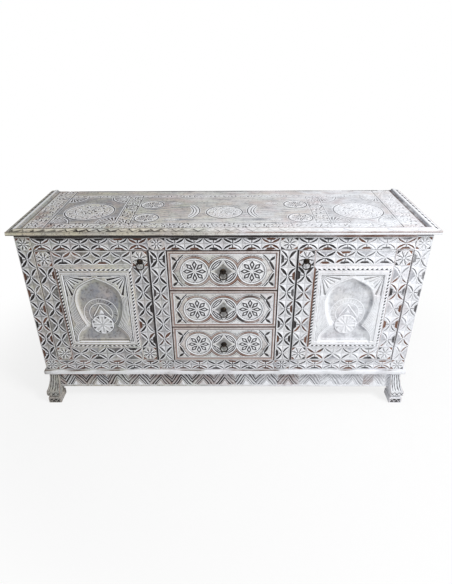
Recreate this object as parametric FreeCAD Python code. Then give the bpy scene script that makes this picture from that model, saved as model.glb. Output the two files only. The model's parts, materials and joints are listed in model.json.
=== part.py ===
"""Carved sideboard: a tray-like top, two pivot-hung doors, three drawers and four scroll feet.

Millimetres. X runs along the front, the front faces -Y and Z is up. The origin is the middle of the
footprint at floor level. Each board is one solid, so the cabinet comes apart as it would on a bench.
"""
import FreeCAD, Part
import os

Vec = FreeCAD.Vector

# Overall
width = 1700.0
depth = 545.0
height = 890.0

# Top: mouldings round a sunk panel
moulding_width = 48.0
front_overhang = 20.0
side_overhang = 21.0
lip_height = 8.0
lip_groove_depth = 2.5
lip_groove_height = 1.5
band_rise = 4.5
band_height = 20.0
crest_setback = 26.0
crest_width = 5.0
cove_width = 9.0
panel_drop = 9.0
top_panel_thickness = 22.0

# Frame of posts and rails
corner_post_width = 63.0
corner_post_depth = 45.0
inner_post_width = 72.0
top_rail_height = 73.0
bottom_rail_height = 54.0
drawer_opening_width = 458.0
side_plank_recess = 6.0
back_thickness = 12.0
partition_thickness = 18.0

# Base
foot_height = 170.0
base_board_thickness = 23.0
base_projection = 10.0
apron_height = 90.0
apron_thickness = 20.0
apron_setback = 12.0

# Doors
reveal = 2.0
door_thickness = 22.0
door_member_width = 70.0
door_edge_radius = 8.0
pintle_radius = 5.0
pintle_length = 14.0
pintle_clearance = 0.05
socket_end_clearance = 1.0

# Raised door panel
panel_proud = 7.0
panel_back_inset = 4.0
panel_bevel = 12.0
field_margin = 21.0
field_drop = 3.0
niche_depth = 10.0
boss_height = 4.0

# Keyhole niche, as shares of the panel's field: widths of its width, rises of its height
niche_foot_width_share = 0.842
niche_bell_width_share = 0.81
niche_bell_rise_share = 0.12
niche_hip_width_share = 0.66
niche_hip_rise_share = 0.215
niche_neck_width_share = 0.513
niche_neck_rise_share = 0.268
niche_arch_width_share = 0.74
niche_arch_rise_share = 0.6
niche_tip_width_share = 0.37
niche_tip_rise_share = 0.845
niche_rise_share = 0.912
boss_width_share = 0.366
boss_rise_share = 0.27

# Drawers
drawer_count = 3
drawer_lip_width = 12.0
drawer_lip_proud = 2.0
drawer_field_drop = 3.0
drawer_box_side_gap = 3.0
drawer_box_headroom = 33.0
drawer_box_back_gap = 45.0
drawer_side_thickness = 12.0
drawer_bottom_thickness = 6.0
drawer_bottom_rise = 5.0
divider_thickness = 10.0

# Ring pulls
rose_radius = 13.0
rose_height = 5.0
eye_reach = 10.0
eye_radius = 5.6
eye_width = 5.0
ring_wire_radius = 2.5
ring_radius = 16.0
ring_eye_clearance = 0.3
door_pull_drop = 47.0
drawer_pull_drop = 4.0

# Feet
neck_width = 46.0
neck_depth = 52.0
neck_inset = 7.0
bulge_out = 27.0
bulge_front = 20.0
bulge_back = 5.0
bulge_slant = 9.0
bulge_rise = 58.0
notch_rise = 38.0
notch_in = 13.0
block_height = 32.0
block_out = 26.0
block_front = 16.0
block_back = 10.0
block_slant = 12.0
block_edge_radius = 7.0
foot_swell_share = 0.33

overrun = 5.0

# Levels and planes that follow from the sizes above
lip_z = height - band_height
panel_z = height - panel_drop
board_z = foot_height
frame_z = foot_height + base_board_thickness
opening_bottom = frame_z + bottom_rail_height
opening_top = lip_z - top_rail_height
opening_height = opening_top - opening_bottom
lip_y = -depth / 2
back_y = depth / 2
front_y = lip_y + front_overhang
rail_back_y = lip_y + moulding_width
post_back_y = front_y + corner_post_depth
half_body = width / 2 - side_overhang
plank_outer_x = half_body - side_plank_recess
plank_inner_x = width / 2 - moulding_width
rail_end_x = half_body - corner_post_width
drawer_edge_x = drawer_opening_width / 2
inner_post_outer_x = drawer_edge_x + inner_post_width
partition_outer_x = drawer_edge_x + partition_thickness
panel_underside = panel_z - top_panel_thickness
back_inner_y = back_y - back_thickness
drawer_pitch = opening_height / drawer_count
drawer_box_height = drawer_pitch - divider_thickness - drawer_box_headroom
drawer_box_length = back_inner_y - drawer_box_back_gap - rail_back_y
SIDES = {"left": -1, "right": 1}


def box(low, high):
    """A block between two corners."""
    size = [b - a for a, b in zip(low, high)]
    return Part.makeBox(size[0], size[1], size[2], Vec(*low))


def prism(points, along):
    """A straight solid over a closed outline of points."""
    return Part.Face(Part.makePolygon([Vec(*p) for p in points + points[:1]])).extrude(Vec(*along))


def cylinder_x(radius, centre, length):
    """A round bar along X, centred on a point."""
    start = Vec(centre[0] - length / 2, centre[1], centre[2])
    return Part.makeCylinder(radius, length, start, Vec(1, 0, 0))


def mirrored(shape, side):
    """The right-hand shape, or its mirror image for the left."""
    return shape if side > 0 else shape.mirror(Vec(0, 0, 0), Vec(1, 0, 0))


def moulding_profile():
    """Moulding outline as (distance in from the outer edge, height above the lip's underside)."""
    groove_z = lip_height + lip_groove_height / 2
    band_z = lip_height + lip_groove_height
    return [
        (0, 0),
        (0, lip_height),
        (lip_groove_depth, groove_z),
        (0, band_z),
        (0, band_z + band_rise),
        (crest_setback, band_height),
        (crest_setback + crest_width, band_height),
        (crest_setback + crest_width + cove_width, band_height - panel_drop),
        (moulding_width, band_height - panel_drop),
        (moulding_width, 0),
    ]


def mitre_wedge(side):
    """Everything outside the mitre plane of one front corner, seen from the end moulding."""
    corner_x, reach = width / 2, moulding_width + overrun
    points = [
        (corner_x + overrun, lip_y - overrun, lip_z - overrun),
        (corner_x - reach, lip_y - overrun, lip_z - overrun),
        (corner_x - reach, lip_y + reach, lip_z - overrun),
    ]
    return mirrored(prism(points, (0, 0, band_height + overrun + overrun)), side)


def top_mouldings():
    front = prism([(-width / 2, lip_y + d, lip_z + h) for d, h in moulding_profile()], (width, 0, 0))
    end = prism([(width / 2 - d, lip_y, lip_z + h) for d, h in moulding_profile()], (0, depth, 0))
    out = {}
    for name, side in SIDES.items():
        wedge = mitre_wedge(side)
        strip = mirrored(end, side).cut(wedge)
        out[f"top_moulding_{name}"] = strip
        corner = box((width / 2 - moulding_width - overrun, lip_y - overrun, lip_z - overrun),
                     (width / 2 + overrun, lip_y + moulding_width + overrun, height + overrun))
        front = front.cut(mirrored(corner, side).cut(wedge))
    out["top_moulding_front"] = front
    return out


def carcass():
    out = {}
    top_panel = box((-plank_inner_x, rail_back_y, panel_underside), (plank_inner_x, back_y, panel_z))
    top_rail = box((-rail_end_x, front_y, opening_top), (rail_end_x, rail_back_y, lip_z))
    bottom_rail = box((-rail_end_x, front_y, frame_z), (rail_end_x, rail_back_y, opening_bottom))
    for side in SIDES.values():
        x, y = pivot(side)
        hole = Part.makeCylinder(pintle_radius + pintle_clearance,
                                 opening_height + 2 * (reveal + pintle_length + socket_end_clearance),
                                 Vec(x, y, opening_bottom - reveal - pintle_length - socket_end_clearance))
        top_rail = top_rail.cut(hole)
        bottom_rail = bottom_rail.cut(hole)
    out["top_rail"] = top_rail
    out["bottom_rail"] = bottom_rail
    out["back_panel"] = box((-plank_inner_x, back_inner_y, frame_z),
                            (plank_inner_x, back_y, panel_underside))
    edge = half_body + base_projection
    out["base_board"] = box((-edge, front_y - base_projection, board_z), (edge, back_y, frame_z))
    for name, side in SIDES.items():
        post = mirrored(box((rail_end_x, front_y, frame_z), (half_body, post_back_y, lip_z)), side)
        out[f"corner_post_{name}"] = post
        top_panel = top_panel.cut(post)
        inner_post = box((drawer_edge_x, front_y, opening_bottom),
                         (inner_post_outer_x, rail_back_y, opening_top))
        plank = box((plank_inner_x, post_back_y, frame_z), (plank_outer_x, back_y, lip_z))
        partition = box((drawer_edge_x, rail_back_y, frame_z),
                        (partition_outer_x, back_inner_y, panel_underside))
        out[f"inner_post_{name}"] = mirrored(inner_post, side)
        out[f"side_plank_{name}"] = mirrored(plank, side)
        out[f"partition_{name}"] = mirrored(partition, side)
    out["top_panel"] = top_panel
    for number in range(1, drawer_count + 1):
        top = drawer_floor(number) + divider_thickness / 2
        out[f"drawer_divider_{number}"] = box((-drawer_edge_x, rail_back_y, top - divider_thickness),
                                              (drawer_edge_x, back_inner_y, top))
    return out


def drawer_floor(number):
    """Height at which a drawer's share of the opening starts; the top drawer is number 1."""
    return opening_bottom + (drawer_count - number) * drawer_pitch


def pivot(side):
    """Where a door turns: inside its outer stile, near the front corner."""
    return side * (rail_end_x - reveal - door_edge_radius), front_y + door_edge_radius


def niche_outline(x, z, field_width, field_height):
    """Keyhole niche: a bell-shaped foot, a narrow neck and a swelling arch that ends in a blunt tip."""
    bell = [
        (niche_foot_width_share, 0),
        (niche_bell_width_share, niche_bell_rise_share),
        (niche_hip_width_share, niche_hip_rise_share),
        (niche_neck_width_share, niche_neck_rise_share),
    ]
    arch = [
        (niche_neck_width_share, niche_neck_rise_share),
        (niche_arch_width_share, niche_arch_rise_share),
        (niche_tip_width_share, niche_tip_rise_share),
        (0, niche_rise_share),
    ]
    half = field_width / 2

    def curve(shares, side):
        points = [Vec(x + side * half * w, 0, z + field_height * h) for w, h in shares]
        spline = Part.BSplineCurve()
        spline.interpolate(points if side > 0 else points[::-1])
        return spline.toShape()

    foot_half = half * niche_foot_width_share
    foot = Part.makeLine(Vec(x - foot_half, 0, z), Vec(x + foot_half, 0, z))
    return Part.Wire([curve(bell, 1), curve(arch, 1), curve(arch, -1), curve(bell, -1), foot])


def raised_panel(low_x, high_x, low_z, high_z):
    """Door panel: bevelled round its edge, a sunk field, and a niche with a round boss in it."""
    face_y = front_y - panel_proud
    body = box((low_x, face_y, low_z), (high_x, front_y + door_thickness - panel_back_inset, high_z))
    bevel = box((low_x - overrun, face_y - overrun, low_z - overrun),
                (high_x + overrun, front_y, high_z + overrun))
    outer = Part.makePolygon([Vec(low_x, front_y, low_z), Vec(high_x, front_y, low_z),
                              Vec(high_x, front_y, high_z), Vec(low_x, front_y, high_z),
                              Vec(low_x, front_y, low_z)])
    inner = Part.makePolygon([Vec(low_x + panel_bevel, face_y, low_z + panel_bevel),
                              Vec(high_x - panel_bevel, face_y, low_z + panel_bevel),
                              Vec(high_x - panel_bevel, face_y, high_z - panel_bevel),
                              Vec(low_x + panel_bevel, face_y, high_z - panel_bevel),
                              Vec(low_x + panel_bevel, face_y, low_z + panel_bevel)])
    body = body.cut(bevel.cut(Part.makeLoft([outer, inner], True, True)))
    field_y = face_y + field_drop
    field_z = low_z + field_margin
    field_width = high_x - low_x - 2 * field_margin
    field_height = high_z - low_z - 2 * field_margin
    body = body.cut(box((low_x + field_margin, face_y - overrun, field_z),
                        (high_x - field_margin, field_y, high_z - field_margin)))
    middle = (low_x + high_x) / 2
    outline = niche_outline(middle, field_z, field_width, field_height)
    niche = Part.Face(outline).extrude(Vec(0, niche_depth, 0))
    niche.translate(Vec(0, field_y, 0))
    boss = Part.makeCylinder(boss_width_share * field_width / 2, niche_depth,
                             Vec(middle, field_y + niche_depth - boss_height,
                                 field_z + boss_rise_share * field_height), Vec(0, 1, 0))
    return body.cut(niche.cut(boss))


def door(name, side):
    out = {}
    inner_x = inner_post_outer_x + reveal
    outer_x = rail_end_x - reveal
    low_z, high_z = opening_bottom + reveal, opening_top - reveal
    back = front_y + door_thickness
    stile = box((outer_x - door_member_width, front_y, low_z), (outer_x, back, high_z))
    corner = box((outer_x - door_edge_radius, front_y - overrun, low_z - overrun),
                 (outer_x + overrun, front_y + door_edge_radius, high_z + overrun))
    x, y = pivot(1)
    rounding = Part.makeCylinder(door_edge_radius, high_z - low_z + overrun + overrun,
                                 Vec(x, y, low_z - overrun))
    pintles = Part.makeCylinder(pintle_radius, high_z - low_z + 2 * pintle_length,
                                Vec(x, y, low_z - pintle_length))
    stile = stile.cut(corner.cut(rounding)).fuse(pintles).removeSplitter()
    out["outer_stile"] = stile
    out["inner_stile"] = box((inner_x, front_y, low_z), (inner_x + door_member_width, back, high_z))
    rail_low, rail_high = inner_x + door_member_width, outer_x - door_member_width
    out["top_rail"] = box((rail_low, front_y, high_z - door_member_width), (rail_high, back, high_z))
    out["bottom_rail"] = box((rail_low, front_y, low_z), (rail_high, back, low_z + door_member_width))
    out["panel"] = raised_panel(rail_low, rail_high, low_z + door_member_width, high_z - door_member_width)
    pull_x = inner_x + door_member_width / 2
    rose, ring = ring_pull(pull_x, front_y, high_z - door_pull_drop)
    out["rose"], out["ring"] = rose, ring
    return {f"door_{name}_{piece}": mirrored(shape, side) for piece, shape in out.items()}


def drawer(number):
    low_z = drawer_floor(number) + reveal / 2
    high_z = low_z + drawer_pitch - reveal
    half = drawer_edge_x - reveal
    face_y = front_y - drawer_lip_proud
    back_face = rail_back_y
    front = box((-half, face_y, low_z), (half, back_face, high_z))
    front = front.cut(box((-half + drawer_lip_width, face_y - overrun, low_z + drawer_lip_width),
                          (half - drawer_lip_width, face_y + drawer_field_drop, high_z - drawer_lip_width)))
    box_low = drawer_floor(number) + divider_thickness / 2
    box_high = box_low + drawer_box_height
    box_half = drawer_edge_x - drawer_box_side_gap
    box_back = back_face + drawer_box_length
    side = box((box_half - drawer_side_thickness, back_face, box_low), (box_half, box_back, box_high))
    inner = box_half - drawer_side_thickness
    bottom_low = box_low + drawer_bottom_rise
    inner_back = box_back - drawer_side_thickness
    rose, ring = ring_pull(0, face_y + drawer_field_drop, (low_z + high_z) / 2 - drawer_pull_drop)
    pieces = {
        "front": front,
        "side_left": mirrored(side, SIDES["left"]),
        "side_right": mirrored(side, SIDES["right"]),
        "back": box((-inner, inner_back, box_low), (inner, box_back, box_high)),
        "bottom": box((-inner, back_face, bottom_low),
                      (inner, inner_back, bottom_low + drawer_bottom_thickness)),
        "rose": rose,
        "ring": ring,
    }
    return {f"drawer_{number}_{piece}": shape for piece, shape in pieces.items()}


def ring_pull(x, face_y, z):
    """A domed rose with an eye, and the ring that hangs in it; z is the height of the eye."""
    dome_radius = (rose_radius ** 2 + rose_height ** 2) / (2 * rose_height)
    ball = Part.makeSphere(dome_radius, Vec(x, face_y - rose_height + dome_radius, z))
    reach = rose_radius + overrun
    dome = ball.common(box((x - reach, face_y - rose_height - overrun, z - reach),
                           (x + reach, face_y, z + reach)))
    eye_y = face_y - eye_reach
    neck = box((x - eye_width / 2, eye_y, z - eye_radius), (x + eye_width / 2, face_y, z + eye_radius))
    eye = cylinder_x(eye_radius, (x, eye_y, z), eye_width)
    bore = cylinder_x(ring_wire_radius + ring_eye_clearance, (x, eye_y, z), eye_width + overrun)
    rose = dome.fuse(neck).fuse(eye).removeSplitter().cut(bore)
    ring = Part.makeTorus(ring_radius, ring_wire_radius, Vec(x, eye_y, z - ring_radius), Vec(0, 1, 0))
    return rose, ring


def foot_side(neck_low, neck_high, below_low, below_high):
    """Outline of a foot along one way, as (place, height).

    The neck's two sides come first, then how far the bulge and the block lie beyond each of them.
    """
    bulge_hi, block_hi = (neck_high + v for v in below_high)
    bulge_lo, block_lo = (neck_low - v for v in below_low)
    notch_hi, notch_lo = block_hi - notch_in, block_lo + notch_in
    swell_rise = (bulge_rise + foot_height) / 2
    round_low = block_edge_radius / 2
    high = [
        (neck_high, foot_height),
        (neck_high + (bulge_hi - neck_high) * foot_swell_share, swell_rise),
        (bulge_hi, bulge_rise + notch_in),
        (bulge_hi, bulge_rise - notch_in / 2),
        (notch_hi, notch_rise),
        (notch_hi, block_height),
        (block_hi, block_height - round_low),
        (block_hi, round_low),
        (block_hi - block_edge_radius, 0),
    ]
    low = [
        (block_lo + block_edge_radius, 0),
        (block_lo, round_low),
        (block_lo, block_height - round_low),
        (notch_lo, block_height),
        (notch_lo, notch_rise),
        (bulge_lo, bulge_rise - notch_in / 2),
        (bulge_lo, bulge_rise + notch_in),
        (neck_low, foot_height),
    ]
    return high + low


def apron_and_feet():
    out = {}
    neck_outer = half_body - neck_inset
    neck_inner = neck_outer - neck_width
    across = foot_side(neck_inner, neck_outer, (-bulge_slant, -block_slant), (bulge_out, block_out))
    front_low = -(front_y + neck_depth)
    along = foot_side(front_low, -front_y, (bulge_back, block_back), (bulge_front, block_front))
    reach = width
    wide = prism([(x, -reach, z) for x, z in across], (0, reach + reach, 0))
    front = wide.common(prism([(-reach, -y, z) for y, z in along], (reach + reach, 0, 0)))
    shift = back_y - bulge_front + front_y
    rear = front.mirror(Vec(0, 0, 0), Vec(0, 1, 0))
    rear.translate(Vec(0, shift, 0))
    for name, side in SIDES.items():
        out[f"foot_front_{name}"] = mirrored(front, side)
        out[f"foot_back_{name}"] = mirrored(rear, side)
    apron_y = front_y + apron_setback
    apron_low = board_z - apron_height
    low_end = neck_inner + bulge_slant * apron_height / (foot_height - bulge_rise - notch_in)
    out["apron"] = prism([(-neck_inner, apron_y, board_z), (neck_inner, apron_y, board_z),
                          (low_end, apron_y, apron_low), (-low_end, apron_y, apron_low)],
                         (0, apron_thickness, 0))
    return out


def main():
    parts = {}
    parts.update(top_mouldings())
    parts.update(carcass())
    parts.update(apron_and_feet())
    for name, side in SIDES.items():
        parts.update(door(name, side))
    for number in range(1, drawer_count + 1):
        parts.update(drawer(number))
    os.makedirs("parts", exist_ok=True)
    for name, shape in parts.items():
        if shape.ShapeType != "Solid":
            assert len(shape.Solids) == 1, f"{name}: {len(shape.Solids)} solids"
            shape = shape.Solids[0]
        assert shape.isValid() and shape.Volume > 0, name
        shape.exportStep(f"parts/{name}.step")
    print(len(parts), "pieces")


main()
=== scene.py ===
"""Carved sideboard: limed chip-carved boards, cream top moulding, iron ring pulls, white studio.

Lengths in the carving functions are millimetres on a board's face, and other bare numbers there are
shares of a cut's tone or of a motif. Meshes are in metres.
"""
import json
import math

import bpy
import numpy as np
from mathutils import Matrix, Vector


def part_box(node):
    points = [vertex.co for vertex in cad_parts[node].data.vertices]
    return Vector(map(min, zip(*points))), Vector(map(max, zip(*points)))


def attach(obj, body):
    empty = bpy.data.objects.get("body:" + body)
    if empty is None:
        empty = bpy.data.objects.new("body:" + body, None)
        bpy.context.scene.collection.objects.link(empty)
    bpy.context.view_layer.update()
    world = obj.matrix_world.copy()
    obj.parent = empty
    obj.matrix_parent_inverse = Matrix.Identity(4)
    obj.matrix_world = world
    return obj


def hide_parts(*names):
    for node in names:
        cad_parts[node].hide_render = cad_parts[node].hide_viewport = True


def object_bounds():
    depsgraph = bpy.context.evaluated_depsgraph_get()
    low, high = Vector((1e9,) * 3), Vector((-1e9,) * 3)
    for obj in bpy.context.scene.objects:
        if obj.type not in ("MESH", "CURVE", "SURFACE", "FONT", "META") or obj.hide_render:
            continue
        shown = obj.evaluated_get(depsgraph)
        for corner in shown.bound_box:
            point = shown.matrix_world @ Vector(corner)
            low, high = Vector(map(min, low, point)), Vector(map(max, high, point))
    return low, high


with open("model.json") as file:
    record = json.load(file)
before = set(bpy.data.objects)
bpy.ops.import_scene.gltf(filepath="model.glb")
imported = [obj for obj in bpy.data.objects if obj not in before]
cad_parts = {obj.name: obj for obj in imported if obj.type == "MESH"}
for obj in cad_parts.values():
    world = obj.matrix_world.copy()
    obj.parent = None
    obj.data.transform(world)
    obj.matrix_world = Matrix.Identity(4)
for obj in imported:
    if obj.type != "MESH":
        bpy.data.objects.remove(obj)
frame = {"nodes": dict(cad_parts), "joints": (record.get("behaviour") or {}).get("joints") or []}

bl_info = {
    "name": "Carved Sideboard",
    "version": (1, 0, 0),
    "blender": (4, 5, 0),
    "location": "3D View > Sidebar > Sideboard",
    "description": "Builds the limed, chip-carved boards of a sideboard on its packed frame",
    "category": "Object",
}

CAD_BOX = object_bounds()
SIDES = {"left": -1, "right": 1}
DRAWERS = (1, 2, 3)
MM = 1000
EIGHTH = math.tau / 8
FRONT_EDGE = round(CAD_BOX[0][1] * MM, 3)
GRAIN = {"x": (0.1, 1, 1), "y": (1, 0.1, 1), "z": (1, 1, 0.1)}

# The keyhole niche's outline, as shares of half the field's width and of its height
NICHE_BELL_SHARES = [(0.842, 0), (0.81, 0.12), (0.66, 0.215), (0.513, 0.268)]
NICHE_ARCH_SHARES = [(0.513, 0.268), (0.66, 0.41), (0.74, 0.6), (0.62, 0.76), (0.37, 0.845), (0.0, 0.912)]

# Wedges of a door's spandrel: direction in degrees, length, width and tone
SPANDREL_WEDGES = ((1, 118, 6, 0.75), (13, 84, 13, 0.95), (29, 68, 9, 0.75), (45, 60, 11, 0.55),
                   (61, 70, 9, 0.75), (76, 96, 13, 0.9), (88, 124, 6, 0.85))

# The ogee at each end of a drawer front, and the leaves outside it: from, to, width and bow
OGEE_PLACES = ((162, 72), (176, 58), (188, 38), (200, 14), (211, 0))
OGEE_LEAVES = (((211, 5), (188, 52), 19, 0.05), ((190, 48), (160, 77), 14, 0.06),
               ((215, 70), (188, 47), 15, 0))

# The studio: the floor's rings and where its white starts and ends, the camera as fitted to the
# photograph, and for each lamp the setting that holds its power, its place, aim and size
FLOOR_RINGS, FLOOR_SPOKES, FLOOR_FADE = (0.4, 0.8, 1.2, 1.6, 2, 2.5, 3, 4, 6, 10, 20, 60), 64, (0.95, 1.7)
SENSOR_WIDTH, EYE_PLACE, EYE_PAN, EYE_ROLL = 36.0, (0.0308, -1.9328, 1.552), 0.0118, -0.0077
LAMPS = (("key_lamp", "key", (2.35, -1.95, 3.3), (0.1, -0.1, 0.5), (1.1, 1.1)),
         ("front_lamp", "fill", (-1.2, -3.2, 1.6), (-0.1, 0, 0.45), (2.4, 1.6)))


def shade(red, green, blue):
    """A colour written as screen values, as the shader wants it."""
    return tuple(c / 12.92 if c <= 0.04045 else ((c + 0.055) / 1.055) ** 2.4
                 for c in (v / 255 for v in (red, green, blue)))


def colour(name, description, red, green, blue):
    """A colour that Blender shows with a picker, from its red, green and blue out of 255."""
    return bpy.props.FloatVectorProperty(name=name, description=description, subtype="COLOR", size=3,
                                         min=0, max=1, default=shade(red, green, blue))


def amount(name, description, default, subtype="NONE"):
    """A number that is not below 0."""
    return bpy.props.FloatProperty(name=name, description=description, default=default, min=0,
                                   subtype=subtype)


def length(name, description, default):
    """A length that Blender shows in millimetres."""
    return amount(name, description, default, "DISTANCE_CAMERA")


class CarvingSizes(bpy.types.PropertyGroup):
    """Sizes of the gouge cuts, in millimetres."""
    grid: length("Grid", "Spacing of the mesh on a carved face, in mm", 1.4)
    top_grid: length("Top grid", "Spacing of the mesh on the top, in mm", 1.8)
    arris: length("Arris", "Rounding of every board's edge, in mm", 2.2)
    leaf_depth: length("Claw depth", "Depth of the dark claws along a star's sides, in mm", 5.2)
    leaf_width: length("Claw width", "Width of those claws, in mm", 12.5)
    arch_reach: amount("Arch reach", "Share of a star cell that the arches between two stars take up", 0.95,
                       "FACTOR")
    arch_power: amount("Arch power", "Roundness of those arches: 1 is a triangle and 2 is round", 1.85)
    chip_depth: length("Chip depth", "Depth of the half-moon chips along a band's edges, in mm", 3.8)
    star_fall: amount("Star fall", "Fall of a star's facets from its ridges, in mm per mm", 0.36)
    rope_depth: length("Rope depth", "Depth of the notches round a door panel, in mm", 3.4)
    niche_depth: length("Niche depth", "Depth of the keyhole niche below the field, in mm", 13.0)
    top_depth: length("Top relief", "Depth of the carving on the top, in mm", 2.7)


class FinishColours(bpy.types.PropertyGroup):
    """Colours of the finishes."""
    # Pale lime also paints highlights on ridges, on the left slopes of the niches and towards the right, near
    # the lamp.
    lime_pale: colour("Pale lime", "Limewash where it lies thick", 237, 239, 244)
    lime_grey: colour("Grey lime", "Limewash rubbed thin", 176, 174, 167)
    # Smoky lime also paints shade: in the coves of the end mouldings, on the right slopes of the niches, and
    # more towards the left, away from the lamp.
    smoke: colour("Smoky lime", "Grey limewash in streaks and on the floors of the niches", 137, 140, 149)
    grime: colour("Grime", "Specks of old dirt", 112, 106, 102)
    # Rubbed wood also paints shade in brown: on the left bevels of the door panels, in the coves of the end
    # mouldings and under the lip towards the right.
    rubbed: colour("Rubbed wood", "Wood where the limewash is worn off", 136, 99, 82)
    # The dark wax colour also paints shade: at the bottom of the cuts, in the gaps beside the posts and
    # doors, and under the top's lip.
    dark_wax_and_shade: colour("Stain", "Dark wax left in the cuts", 38, 33, 33)
    cream: colour("Cream", "Yellowed limewash on the top moulding", 220, 213, 184)
    bare: colour("Bare wood", "Unpainted boards inside", 160, 130, 98)
    iron: colour("Iron", "Forged iron of the pulls", 30, 25, 22)
    brass: colour("Bright metal", "Worn spots of the pulls", 150, 124, 88)


class StudioSettings(bpy.types.PropertyGroup):
    """Camera and lamps."""
    lens: length("Lens", "Focal length on a 36 mm sensor, in mm", 28.25)
    pitch: amount("Pitch", "How far the camera looks down", 0.5127, "ANGLE")
    sky: amount("Sky", "Strength of the even light", 0.43)
    key: amount("Key", "Power of the lamp over the right shoulder", 128.0, "POWER")
    fill: amount("Fill", "Power of the lamp in front", 5.0, "POWER")


class Tone:
    """One value of a finish, worked out from others by ordinary arithmetic."""

    def __init__(self, pot, socket):
        self.pot, self.socket = pot, socket

    def maths(self, operation, first, second):
        return self.pot.node("ShaderNodeMath", {"operation": operation}, {0: first, 1: second})

    def __add__(self, other):
        return self.maths("ADD", self, other)

    def __radd__(self, other):
        return self.maths("ADD", other, self)

    def __sub__(self, other):
        return self.maths("SUBTRACT", self, other)

    def __rsub__(self, other):
        return self.maths("SUBTRACT", other, self)

    def __mul__(self, other):
        return self.maths("MULTIPLY", self, other)

    def __rmul__(self, other):
        return self.maths("MULTIPLY", other, self)

    def __pow__(self, other):
        return self.maths("POWER", self, other)


class Pot:
    """The node tree of one finish, or of the sky, while it is mixed."""

    def __init__(self, owner):
        self.owner = owner
        owner.use_nodes = True
        self.tree = owner.node_tree
        self.tree.nodes.clear()

    def node(self, kind, settings=None, values=None, output=0):
        made = self.tree.nodes.new(kind)
        for key, value in (settings or {}).items():
            setattr(made, key, value)
        for key, value in (values or {}).items():
            if isinstance(value, Tone):
                self.tree.links.new(value.socket, made.inputs[key])
            else:
                made.inputs[key].default_value = value
        return Tone(self, made.outputs[output]) if made.outputs else made

    def place(self, stretch=(1, 1, 1)):
        spot = self.node("ShaderNodeTexCoord", output="Object")
        return self.node("ShaderNodeMapping", None, {"Vector": spot, "Scale": stretch})

    def reading(self, name):
        return self.node("ShaderNodeAttribute", {"attribute_name": name}, output="Fac")

    def noise(self, place, scale, detail=4.0, roughness=0.55, distortion=0.0):
        return self.node("ShaderNodeTexNoise", None, {"Vector": place, "Scale": scale, "Detail": detail,
                                                     "Roughness": roughness, "Distortion": distortion}, "Fac")

    def between(self, value, low, high):
        return self.node("ShaderNodeMapRange", {"interpolation_type": "SMOOTHSTEP"},
                         {"Value": value, "From Min": low, "From Max": high})

    def blend(self, factor, first, second, way="MIX"):
        return self.node("ShaderNodeMix", {"data_type": "RGBA", "blend_type": way},
                         {0: factor, 6: first, 7: second}, 2)

    def height(self, value, distance, strength=1.0):
        return self.node("ShaderNodeBump", None,
                         {"Height": value, "Distance": distance, "Strength": strength})

    def coat(self, values, constants=None):
        shader = self.node("ShaderNodeBsdfPrincipled", None, {**values, **(constants or {})})
        self.node("ShaderNodeOutputMaterial", None, {"Surface": shader})
        return self.owner


def opaque(rgb):
    """A colour with full cover."""
    return (rgb[0], rgb[1], rgb[2], 1.0)


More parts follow.
